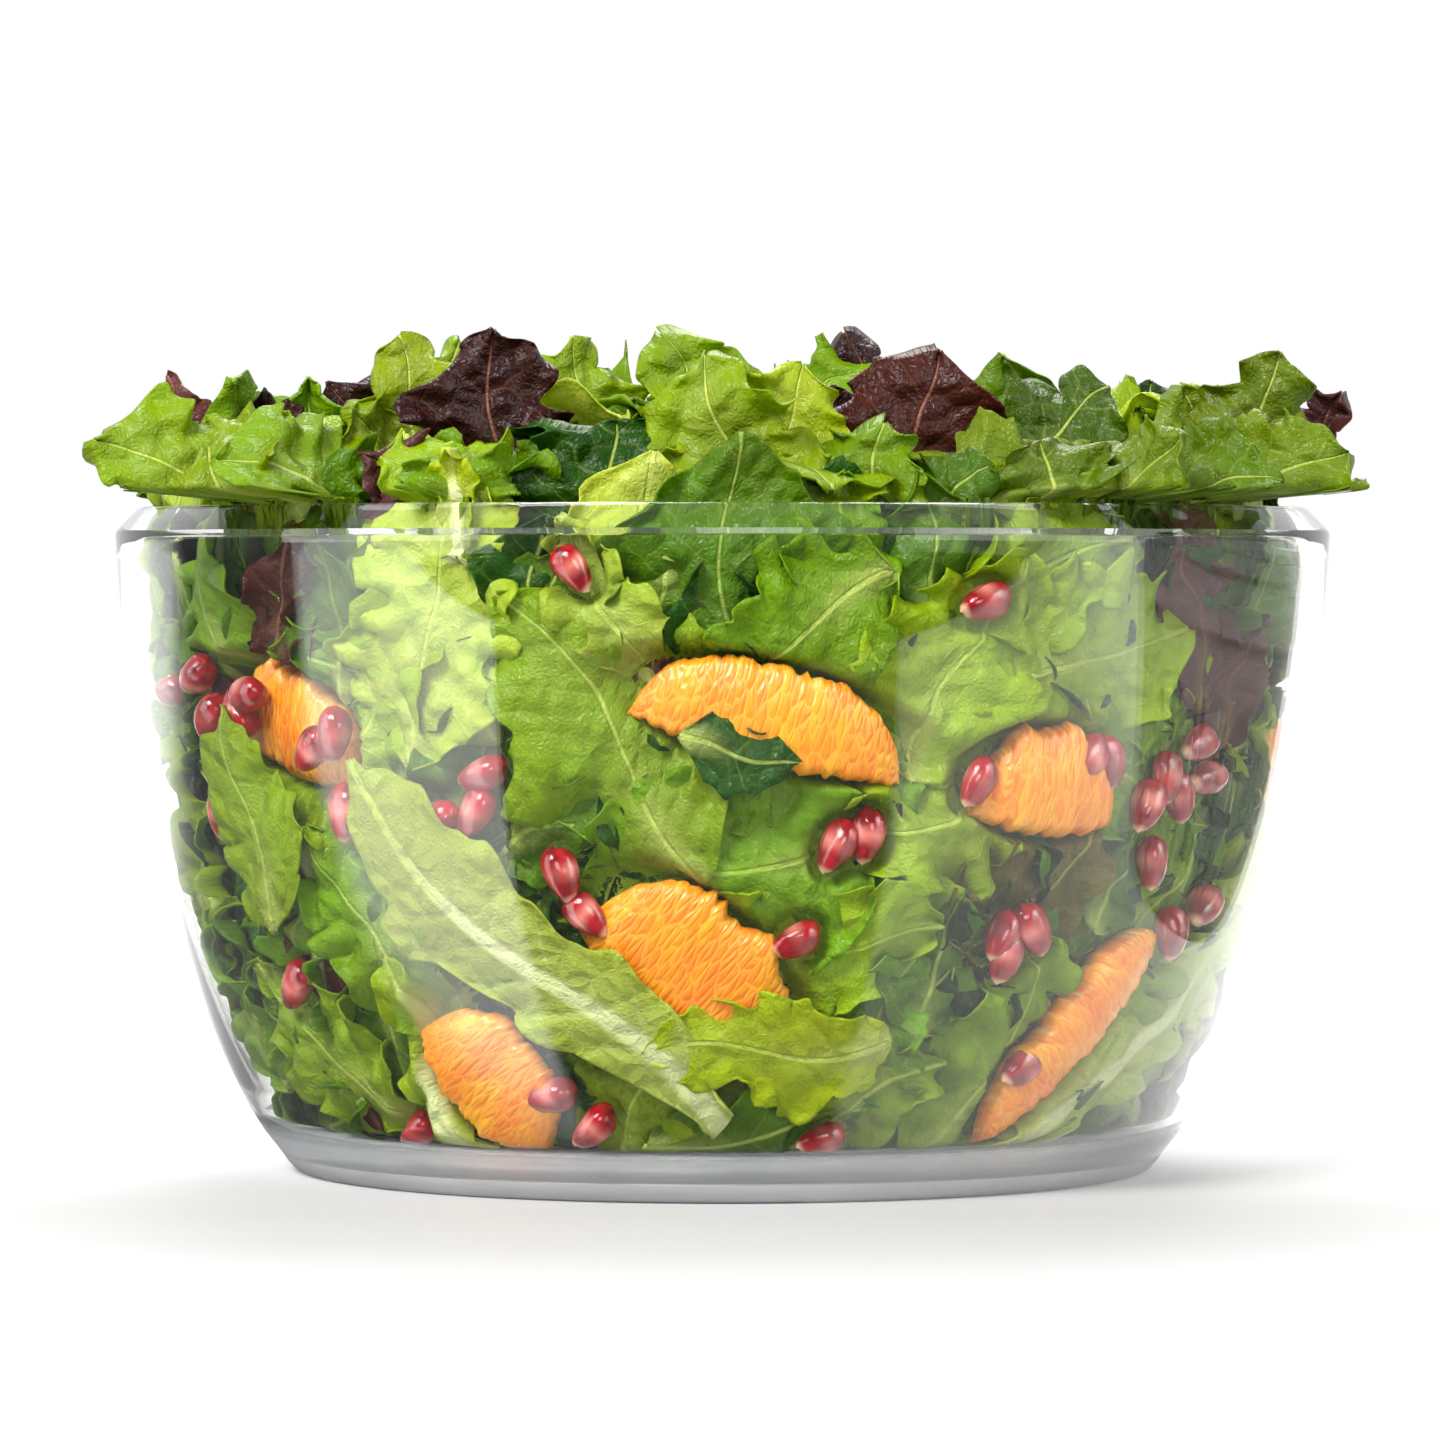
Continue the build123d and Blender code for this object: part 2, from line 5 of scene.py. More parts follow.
import bpy
import numpy as np
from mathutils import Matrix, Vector


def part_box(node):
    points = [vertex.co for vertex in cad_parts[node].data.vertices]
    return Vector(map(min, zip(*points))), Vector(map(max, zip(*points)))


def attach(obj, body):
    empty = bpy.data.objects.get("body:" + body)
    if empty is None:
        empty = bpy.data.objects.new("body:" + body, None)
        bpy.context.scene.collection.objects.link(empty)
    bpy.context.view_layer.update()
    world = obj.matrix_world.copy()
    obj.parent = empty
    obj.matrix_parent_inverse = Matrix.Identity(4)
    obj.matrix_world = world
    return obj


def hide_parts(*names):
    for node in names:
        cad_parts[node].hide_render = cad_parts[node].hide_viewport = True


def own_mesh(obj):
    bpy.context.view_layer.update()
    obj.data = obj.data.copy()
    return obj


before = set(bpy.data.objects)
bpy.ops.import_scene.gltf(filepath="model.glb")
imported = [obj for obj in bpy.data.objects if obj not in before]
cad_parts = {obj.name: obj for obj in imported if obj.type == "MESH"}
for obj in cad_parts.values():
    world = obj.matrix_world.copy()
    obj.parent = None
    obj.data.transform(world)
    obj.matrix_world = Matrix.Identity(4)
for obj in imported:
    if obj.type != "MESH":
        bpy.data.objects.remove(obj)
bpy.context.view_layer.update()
MM = 0.001

# ------------------------------------------------------------------ bowl's line
WALL_LINE = [(97.6, 4.0), (103.2, 11.5), (110.3, 24.5), (116.1, 37.7), (122.2, 55.3), (126.6, 73.0),
             (129.5, 90.5), (132.3, 117.0), (134.2, 140.6)]


def catmull(points, n):
    """A smooth open line through the points."""
    p = np.array([points[0]] + list(points) + [points[-1]], float)
    p[0] = 2 * p[1] - p[2]
    p[-1] = 2 * p[-2] - p[-3]
    out = []
    for i in range(1, len(p) - 2):
        for t in np.linspace(0, 1, n, endpoint=False):
            a, b, c, d = p[i - 1], p[i], p[i + 1], p[i + 2]
            out.append(0.5 * (2 * b + (c - a) * t + (2 * a - 5 * b + 4 * c - d) * t * t + (3 * b - a - 3 * c + d) * t ** 3))
    out.append(p[-2])
    return np.array(out)


OUTER = catmull(WALL_LINE, 8)
_T = np.gradient(OUTER, axis=0)
_T /= np.linalg.norm(_T, axis=1)[:, None]
INNER = OUTER + 3.0 * np.stack([-_T[:, 1], _T[:, 0]], 1)


def inner_r(z):
    """The inner wall's radius at a height, in mm; rounds into the floor below and keeps its top radius above the wall.
    """
    z = np.asarray(z, float)
    r = np.interp(z, INNER[:, 1], INNER[:, 0])
    low = np.clip((13.5 - z) / 5.3, 0, 1)
    r = r - 8.5 * low ** 2
    return r


# ------------------------------------------------------------------ mesh helpers
def new_object(name, verts, faces, body, smooth=True, attrs=None, mats=()):
    me = bpy.data.meshes.new(name)
    verts = np.asarray(verts, np.float32) * MM
    quads = np.asarray(faces, np.int32)
    me.vertices.add(len(verts))
    me.vertices.foreach_set("co", verts.ravel())
    n = quads.shape[1]
    me.loops.add(quads.size)
    me.loops.foreach_set("vertex_index", quads.ravel())
    me.polygons.add(len(quads))
    me.polygons.foreach_set("loop_start", np.arange(0, quads.size, n, dtype=np.int32))
    me.polygons.foreach_set("loop_total", np.full(len(quads), n, np.int32))
    me.update(calc_edges=True)
    me.validate()
    if smooth:
        me.polygons.foreach_set("use_smooth", np.ones(len(me.polygons), bool))
    for key, (kind, data) in (attrs or {}).items():
        a = me.attributes.new(key, kind, "POINT")
        a.data.foreach_set("color" if kind == "FLOAT_COLOR" else "vector", np.asarray(data, np.float32).ravel())
    for m in mats:
        me.materials.append(m)
    o = bpy.data.objects.new(name, me)
    bpy.context.scene.collection.objects.link(o)
    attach(o, body)
    return o


def lathe(name, profile, body, mat, axis_x=0.0, segs=256, closed=True, sharp=38):
    """Turns a closed profile of (r, z) points in mm about a vertical axis."""
    p = np.array(profile, float)
    n = len(p)
    a = np.linspace(0, 2 * np.pi, segs, endpoint=False)
    v = np.stack([axis_x + p[:, 0][None] * np.cos(a)[:, None], p[:, 0][None] * np.sin(a)[:, None],
                  np.broadcast_to(p[:, 1][None], (segs, n))], -1).reshape(-1, 3)
    m = n if closed else n - 1
    i = np.arange(segs)[:, None] * n
    j = ((np.arange(segs) + 1) % segs)[:, None] * n
    k = np.arange(m)[None]
    k2 = (k + 1) % n
    f = np.stack([i + k, j + k, j + k2, i + k2], -1).reshape(-1, 4)
    o = new_object(name, v, f, body, mats=[mat])
    bm_clean(o, sharp)
    return o


def bm_clean(o, sharp):
    import bmesh
    bm = bmesh.new()
    bm.from_mesh(o.data)
    bmesh.ops.remove_doubles(bm, verts=bm.verts, dist=1e-7)
    bmesh.ops.dissolve_degenerate(bm, edges=bm.edges, dist=1e-7)
    bmesh.ops.recalc_face_normals(bm, faces=bm.faces)
    lim = math.radians(sharp)
    for e in bm.edges:
        if len(e.link_faces) == 2:
            e.smooth = e.calc_face_angle(0.0) < lim
    for f in bm.faces:
        f.smooth = True
    bm.to_mesh(o.data)
    bm.free()


# ------------------------------------------------------------------ node helpers
class N:
    """Short-hand for building a shader."""

    def __init__(self, name):
        self.mat = bpy.data.materials.new(name)
        self.mat.use_nodes = True
        self.t = self.mat.node_tree
        self.t.nodes.clear()
        self.out = self.t.nodes.new("ShaderNodeOutputMaterial")

    def node(self, kind, **props):
        n = self.t.nodes.new(kind)
        for k, v in props.items():
            setattr(n, k, v)
        return n

    def put(self, socket, value):
        if value is None:
            return
        if isinstance(value, bpy.types.NodeSocket):
            self.t.links.new(value, socket)
        else:
            socket.default_value = value

    def math(self, op, a, b=None, c=None, clamp=False):
        n = self.node("ShaderNodeMath", operation=op, use_clamp=clamp)
        self.put(n.inputs[0], a)
        self.put(n.inputs[1], b)
        self.put(n.inputs[2], c)
        return n.outputs[0]

    def mix(self, fac, a, b):
        n = self.node("ShaderNodeMix", data_type="RGBA")
        self.put(n.inputs[0], fac)
        self.put(n.inputs[6], a)
        self.put(n.inputs[7], b)
        return n.outputs[2]

    def blend(self, mode, fac, a, b):
        n = self.node("ShaderNodeMix", data_type="RGBA", blend_type=mode)
        self.put(n.inputs[0], fac)
        self.put(n.inputs[6], a)
        self.put(n.inputs[7], b)
        return n.outputs[2]

    def noise(self, vec, scale, detail=3.0, rough=0.55, dist=0.0):
        n = self.node("ShaderNodeTexNoise")
        self.put(n.inputs["Vector"], vec)
        n.inputs["Scale"].default_value = scale
        n.inputs["Detail"].default_value = detail
        n.inputs["Roughness"].default_value = rough
        n.inputs["Distortion"].default_value = dist
        return n.outputs["Fac"]

    def step(self, value, lo, hi, to_lo=0.0, to_hi=1.0):
        n = self.node("ShaderNodeMapRange", interpolation_type="SMOOTHSTEP")
        self.put(n.inputs["Value"], value)
        for k, v in zip(("From Min", "From Max", "To Min", "To Max"), (lo, hi, to_lo, to_hi)):
            self.put(n.inputs[k], v)
        return n.outputs[0]

    def attr(self, name):
        return self.node("ShaderNodeAttribute", attribute_name=name)

    def coords(self):
        return self.node("ShaderNodeTexCoord").outputs["Object"]

    def bump(self, height, strength, distance, normal=None):
        n = self.node("ShaderNodeBump")
        n.inputs["Strength"].default_value = strength
        n.inputs["Distance"].default_value = distance
        self.put(n.inputs["Height"], height)
        self.put(n.inputs["Normal"], normal)
        return n.outputs[0]

    def principled(self, **inputs):
        n = self.node("ShaderNodeBsdfPrincipled")
        for k, v in inputs.items():
            self.put(n.inputs[k.replace("_", " ")], v)
        return n

    def done(self, shader):
        self.put(self.out.inputs["Surface"], shader)
        return self.mat


def srgb(r, g, b, a=1.0):
    f = lambda c: ((c / 255 + 0.055) / 1.055) ** 2.4 if c > 10.31 else c / 255 / 12.92
    return (f(r), f(g), f(b), a)


# ------------------------------------------------------------------ materials
def leaf_material():
    n = N("leaf")
    sep = n.node("ShaderNodeSeparateXYZ")
    n.put(sep.inputs[0], n.attr("leaf_pos").outputs["Vector"])  # across mm, along mm, share of the way along
    x, y, u = sep.outputs
    sep2 = n.node("ShaderNodeSeparateXYZ")
    n.put(sep2.inputs[0], n.attr("leaf_kind").outputs["Vector"])  # edge 0..1, rib half-width mm, seed
    edge, rib, seed = sep2.outputs
    col = n.attr("leaf_col").outputs["Color"]
    red = n.attr("leaf_col").outputs["Alpha"]
    ax = n.math("ABSOLUTE", x)
    pos = n.node("ShaderNodeCombineXYZ")
    n.put(pos.inputs[0], x); n.put(pos.inputs[1], y); n.put(pos.inputs[2], n.math("MULTIPLY", seed, 37.0))
    P = pos.outputs[0]
    wob = n.noise(P, 0.09, 2.0)
    wob2 = n.math("MULTIPLY", n.math("SUBTRACT", wob, 0.5), 7.0)
    # midrib
    mid = n.step(ax, n.math("MULTIPLY", rib, 0.45), n.math("ADD", n.math("MULTIPLY", rib, 1.05), 0.16), 1.0, 0.0)
    # side veins, leaving the midrib at a slant and fading outwards
    s = n.math("ADD", n.math("SUBTRACT", y, n.math("MULTIPLY", ax, 0.85)), wob2)
    side = n.node("ShaderNodeMath", operation="PINGPONG")
    n.put(side.inputs[0], s); side.inputs[1].default_value = 5.6
    sidew = n.math("ADD", n.math("MULTIPLY", n.math("SUBTRACT", 1.0, edge), 0.55), 0.16)
    sec = n.math("MULTIPLY", n.step(side.outputs[0], n.math("MULTIPLY", sidew, 0.25), n.math("MULTIPLY", sidew, 1.0), 1.0, 0.0),
                 n.step(edge, 0.55, 1.0, 1.0, 0.25))
    # net of fine veins
    vor = n.node("ShaderNodeTexVoronoi", feature="DISTANCE_TO_EDGE")
    n.put(vor.inputs["Vector"], P); vor.inputs["Scale"].default_value = 0.17
    ter = n.step(vor.outputs["Distance"], 0.0, 0.075, 1.0, 0.0)
    vor2 = n.node("ShaderNodeTexVoronoi", feature="DISTANCE_TO_EDGE")
    n.put(vor2.inputs["Vector"], P); vor2.inputs["Scale"].default_value = 0.85
    quad = n.step(vor2.outputs["Distance"], 0.0, 0.09, 1.0, 0.0)
    veins = n.math("MAXIMUM", n.math("MULTIPLY", mid, 0.9), n.math("MAXIMUM", n.math("MULTIPLY", sec, 0.26), n.math("MULTIPLY", ter, 0.1)))
    # blade colour
    big = n.noise(P, 0.045, 3.0, 0.6)
    fine = n.noise(P, 0.35, 4.0, 0.6)
    hsv = n.node("ShaderNodeHueSaturation")
    n.put(hsv.inputs["Color"], col)
    n.put(hsv.inputs["Hue"], n.math("ADD", 0.5, n.math("MULTIPLY", n.math("SUBTRACT", big, 0.5), 0.035)))
    n.put(hsv.inputs["Saturation"], n.step(edge, 0.2, 1.0, 0.98, 1.06))
    n.put(hsv.inputs["Value"], n.math("ADD", 0.52, n.math("ADD", n.math("MULTIPLY", big, 0.66), n.math("MULTIPLY", fine, 0.2))))
    blade = hsv.outputs[0]
    pale = n.math("MULTIPLY", n.step(u, 0.02, 0.55, 1.0, 0.0), n.step(ax, n.math("MULTIPLY", rib, 1.0), n.math("ADD", n.math("MULTIPLY", rib, 4.5), 2.0), 0.85, 0.0))
    blade = n.mix(n.math("MULTIPLY", pale, n.math("SUBTRACT", 0.8, n.math("MULTIPLY", red, 0.55))), blade, srgb(196, 208, 106))
    veincol = n.mix(red, srgb(194, 208, 96), srgb(150, 96, 74))
    veincol = n.mix(n.step(rib, 1.0, 1.9), veincol, srgb(226, 232, 172))
    colour = n.mix(n.math("MULTIPLY", veins, n.math("MAXIMUM", n.math("ADD", 0.35, n.math("MULTIPLY", seed, 0.45)), n.step(rib, 1.0, 1.9, 0.0, 0.92))), blade, veincol)
    bruise = n.math("MULTIPLY", n.step(n.noise(P, 0.11, 2.0), 0.66, 0.78), n.math("MULTIPLY", n.step(edge, 0.7, 1.0), 0.35))
    colour = n.mix(bruise, colour, srgb(120, 84, 38))
    # puffed cells between the veins
    puff = n.math("ADD", n.math("MULTIPLY", n.step(vor.outputs["Distance"], 0.0, 0.42), 0.75),
                  n.math("ADD", n.math("MULTIPLY", n.step(side.outputs[0], 0.0, 3.4), 0.4), n.math("MULTIPLY", n.step(vor2.outputs["Distance"], 0.0, 0.3), 0.12)))
    puff = n.math("SUBTRACT", puff, n.math("MULTIPLY", mid, 0.35))
    nrm = n.bump(n.math("ADD", puff, n.math("MULTIPLY", fine, 0.25)), 0.8, 0.0012)
    rough = n.math("ADD", 0.23, n.math("MULTIPLY", fine, 0.2))
    p = n.principled(Base_Color=colour, Roughness=rough, Normal=nrm)
    p.inputs["Specular IOR Level"].default_value = 0.27
    tr = n.node("ShaderNodeBsdfTranslucent")
    n.put(tr.inputs["Color"], n.blend("MULTIPLY", 1.0, colour, (1.0, 1.0, 0.3, 1)))
    n.put(tr.inputs["Normal"], nrm)
    mixs = n.node("ShaderNodeMixShader")
    n.put(mixs.inputs[0], n.math("SUBTRACT", 0.42, n.math("MULTIPLY", mid, 0.16)))
    n.put(mixs.inputs[1], p.outputs[0])
    n.put(mixs.inputs[2], tr.outputs[0])
    return n.done(mixs.outputs[0])


def shaded_core_material():
    n = N("salad_core")
    P = n.coords()
    v = n.node("ShaderNodeTexVoronoi", feature="F1")
    n.put(v.inputs["Vector"], P); v.inputs["Scale"].default_value = 38
    a = n.noise(P, 60, 4)
    # painted shade: near-black greens, and darker still between the lumps, for the shaded depths of the salad
    c = n.mix(n.step(a, 0.35, 0.7), srgb(26, 46, 4), srgb(70, 98, 18))
    c = n.mix(n.step(v.outputs["Distance"], 0.2, 0.7), c, srgb(20, 36, 6))
    p = n.principled(Base_Color=c, Roughness=n.math("ADD", 0.6, n.math("MULTIPLY", a, 0.2)), Normal=n.bump(n.math("ADD", a, v.outputs["Distance"]), 1.0, 0.006))
    p.inputs["Specular IOR Level"].default_value = 0.15
    return n.done(p.outputs[0])


def orange_material():
    n = N("orange_flesh")
    sep = n.node("ShaderNodeSeparateXYZ")
    n.put(sep.inputs[0], n.attr("cell").outputs["Vector"])  # along, in from the rind side (mm), seed
    s, t, seed = sep.outputs
    edge = n.math("MULTIPLY", n.attr("cell2").outputs["Fac"], 1.0)
    pos = n.node("ShaderNodeCombineXYZ")
    n.put(pos.inputs[0], n.math("MULTIPLY", s, 1.0)); n.put(pos.inputs[1], n.math("MULTIPLY", t, 0.36)); n.put(pos.inputs[2], seed)
    P = pos.outputs[0]
    v = n.node("ShaderNodeTexVoronoi", feature="DISTANCE_TO_EDGE")
    n.put(v.inputs["Vector"], P); v.inputs["Scale"].default_value = 0.62; v.inputs["Randomness"].default_value = 0.9
    v1 = n.node("ShaderNodeTexVoronoi", feature="F1")
    n.put(v1.inputs["Vector"], P); v1.inputs["Scale"].default_value = 0.62; v1.inputs["Randomness"].default_value = 0.9
    sepc = n.node("ShaderNodeSeparateColor")
    n.put(sepc.inputs[0], v1.outputs["Color"])
    lines = n.step(v.outputs["Distance"], 0.0, 0.09, 1.0, 0.0)
    a = n.noise(P, 0.12, 3)
    c = n.mix(sepc.outputs[0], srgb(250, 142, 2), srgb(255, 172, 14))
    c = n.mix(n.step(a, 0.35, 0.72), c, srgb(244, 122, 0))
    c = n.mix(n.math("MULTIPLY", lines, 0.34), c, srgb(250, 196, 84))
    pith = n.math("MULTIPLY", n.step(n.noise(P, 0.45, 4, 0.7), 0.5, 0.68), n.step(t, 0.2, 2.6, 0.75, 0.0))
    c = n.mix(pith, c, srgb(247, 220, 150))
    h = n.math("ADD", n.step(v.outputs["Distance"], 0.0, 0.32), n.math("MULTIPLY", n.noise(P, 1.4, 3), 0.25))
    nrm = n.bump(h, 0.45, 0.0006)
    p = n.principled(Base_Color=c, Roughness=n.math("ADD", 0.2, n.math("MULTIPLY", a, 0.2)), Normal=nrm)
    p.inputs["Subsurface Weight"].default_value = 0.25
    p.inputs["Subsurface Radius"].default_value = (0.004, 0.0018, 0.0006)
    p.inputs["Subsurface Scale"].default_value = 1.0
    p.inputs["Coat Weight"].default_value = 0.25
    p.inputs["Coat Roughness"].default_value = 0.12
    return n.done(p.outputs[0])


def aril_material():
    n = N("aril")
    sep = n.node("ShaderNodeSeparateXYZ")
    n.put(sep.inputs[0], n.attr("cell").outputs["Vector"])  # -1 stem end .. 1 round end, turn, seed
    t, turn, seed = sep.outputs
    pos = n.node("ShaderNodeCombineXYZ")
    n.put(pos.inputs[0], t); n.put(pos.inputs[1], turn); n.put(pos.inputs[2], seed)
    a = n.noise(pos.outputs[0], 1.4, 3)
    core = n.step(n.math("ADD", n.math("ABSOLUTE", n.math("SUBTRACT", t, 0.05)), n.math("MULTIPLY", a, 0.6)), 0.22, 0.8, 0.75, 0.0)
    core = n.math("MULTIPLY", core, n.step(n.math("SINE", n.math("ADD", turn, n.math("MULTIPLY", seed, 3.0))), -0.5, 0.8, 0.25, 1.0))
    deep = n.mix(n.step(a, 0.3, 0.7), srgb(104, 2, 14), srgb(168, 8, 26))
    c = n.mix(core, deep, srgb(232, 142, 128))
    c = n.mix(n.step(n.math("MULTIPLY", t, -1.0), 0.74, 1.0), c, srgb(240, 196, 160))
    p = n.principled(Base_Color=c, Roughness=0.09, Normal=n.bump(a, 0.25, 0.0005))
    p.inputs["Subsurface Weight"].default_value = 0.2
    p.inputs["Subsurface Radius"].default_value = (0.003, 0.0005, 0.0005)
    p.inputs["Subsurface Scale"].default_value = 1.0
    p.inputs["Coat Weight"].default_value = 0.6
    p.inputs["Coat Roughness"].default_value = 0.04
    return n.done(p.outputs[0])


def clear_material(name, tint=(0.985, 0.99, 0.99, 1), rough=0.0, base=0.0):
    """Clear plastic; light passes straight through it to what is inside."""
    n = N(name)
    P = n.coords()
    fleck = n.noise(P, 9, 2)
    p = n.principled(Base_Color=tint, Roughness=n.math("ADD", rough, n.math("MULTIPLY", n.step(fleck, 0.35, 0.8), 0.012)),
                     Normal=n.bump(n.noise(P, 14, 1), 0.015, 0.001))
    p.inputs["Transmission Weight"].default_value = 1.0
    p.inputs["IOR"].default_value = 1.47
    clear = n.node("ShaderNodeBsdfTransparent")
    clear.inputs[0].default_value = (0.965, 0.975, 0.972, 1)
    lp = n.node("ShaderNodeLightPath")
    mixs = n.node("ShaderNodeMixShader")
    n.put(mixs.inputs[0], n.math("MAXIMUM", lp.outputs["Is Shadow Ray"], lp.outputs["Is Diffuse Ray"]))
    n.put(mixs.inputs[1], p.outputs[0])
    n.put(mixs.inputs[2], clear.outputs[0])
    if not base:
        return n.done(mixs.outputs[0])
    # painted light: up to about 12.5 mm high the clear plastic is mixed with a whitish translucent and diffuse shader,
    # lighter than clear plastic, standing in for the light the thick foot gathers; it also shows fine flow lines
    sep = n.node("ShaderNodeSeparateXYZ")
    n.put(sep.inputs[0], P)
    flow = n.node("ShaderNodeMapping")
    n.put(flow.inputs["Vector"], P); flow.inputs["Scale"].default_value = (4, 4, 900)
    streak = n.noise(flow.outputs[0], 1.0, 3)
    d = n.node("ShaderNodeBsdfTranslucent")
    n.put(d.inputs[0], n.mix(streak, srgb(214, 214, 220), srgb(246, 246, 250)))
    d2 = n.node("ShaderNodeBsdfDiffuse")
    n.put(d2.inputs[0], n.mix(streak, srgb(206, 206, 212), srgb(240, 240, 244)))
    both = n.node("ShaderNodeMixShader")
    both.inputs[0].default_value = 0.5
    n.put(both.inputs[1], d.outputs[0])
    n.put(both.inputs[2], d2.outputs[0])
    clear_and_painted_foot_light = n.node("ShaderNodeMixShader")
    n.put(clear_and_painted_foot_light.inputs[0], n.math("MULTIPLY", n.step(sep.outputs[2], 0.0078, 0.0125, base, 0.0), n.math("SUBTRACT", 1.0, lp.outputs["Is Shadow Ray"])))
    n.put(clear_and_painted_foot_light.inputs[1], mixs.outputs[0])
    n.put(clear_and_painted_foot_light.inputs[2], both.outputs[0])
    return n.done(clear_and_painted_foot_light.outputs[0])


def plastic(name, a, b, rough=0.35, grain=220.0, bump=0.12, coat=0.0, lines=False):
    n = N(name)
    P = n.coords()
    big = n.noise(P, 22, 3)
    tiny = n.noise(P, grain * 6, 2)
    c = n.mix(n.step(big, 0.3, 0.72), a, b)
    h = tiny
    if lines:
        w = n.node("ShaderNodeTexWave", wave_type="RINGS", rings_direction="Z")
        n.put(w.inputs["Vector"], P); w.inputs["Scale"].default_value = 300
        h = n.math("ADD", tiny, n.math("MULTIPLY", w.outputs["Fac"], 0.3))
    p = n.principled(Base_Color=c, Roughness=n.math("ADD", rough, n.math("MULTIPLY", n.math("SUBTRACT", big, 0.5), 0.12)),
                     Normal=n.bump(h, bump, 0.0002))
    p.inputs["Coat Weight"].default_value = coat
    p.inputs["Subsurface Weight"].default_value = 0.04
    p.inputs["Subsurface Scale"].default_value = 0.002
    return n.done(p.outputs[0])


def steel(name, tone=0.62, rough=0.25):
    n = N(name)
    P = n.coords()
    st = n.node("ShaderNodeMapping")
    n.put(st.inputs["Vector"], P); st.inputs["Scale"].default_value = (1, 1, 14)
    a = n.noise(st.outputs[0], 420, 3)
    c = n.mix(a, (tone * 0.85, tone * 0.85, tone * 0.87, 1), (tone, tone, tone * 1.02, 1))
    p = n.principled(Base_Color=c, Roughness=n.math("ADD", rough, n.math("MULTIPLY", a, 0.14)), Normal=n.bump(a, 0.1, 0.0001))
    p.inputs["Metallic"].default_value = 1.0
    return n.done(p.outputs[0])


LEAF = leaf_material()
CLEAR = clear_material("bowl_clear", base=0.52)

# ------------------------------------------------------------------ the leaves
GREENS = {
    "light": (154, 182, 22), "pale": (188, 204, 78), "bright": (124, 164, 4), "mid": (90, 130, 2), "dark": (38, 86, 2),
    "deep": (20, 56, 2), "red": (86, 34, 24), "purple": (104, 56, 56), "wine": (54, 22, 20), "olive": (110, 104, 24), "yellow": (172, 190, 20),
}
REDNESS = {"red": 1.0, "purple": 1.0, "wine": 1.0, "olive": 0.35}


def fbm(x, seed, octaves=3):
    """Smooth 1-D wobble, about -1 to 1."""
    r = np.random.RandomState(int(seed) % 2 ** 31)
    out = np.zeros_like(x)
    amp, tot = 1.0, 0.0
    f = 1.0
    for _ in range(octaves):
        for _ in range(2):
            out += amp * np.sin(2 * np.pi * (f * x * r.uniform(0.7, 1.3) + r.uniform()))
            tot += amp * 0.9
        amp *= 0.55
        f *= 2.1
    return out / tot


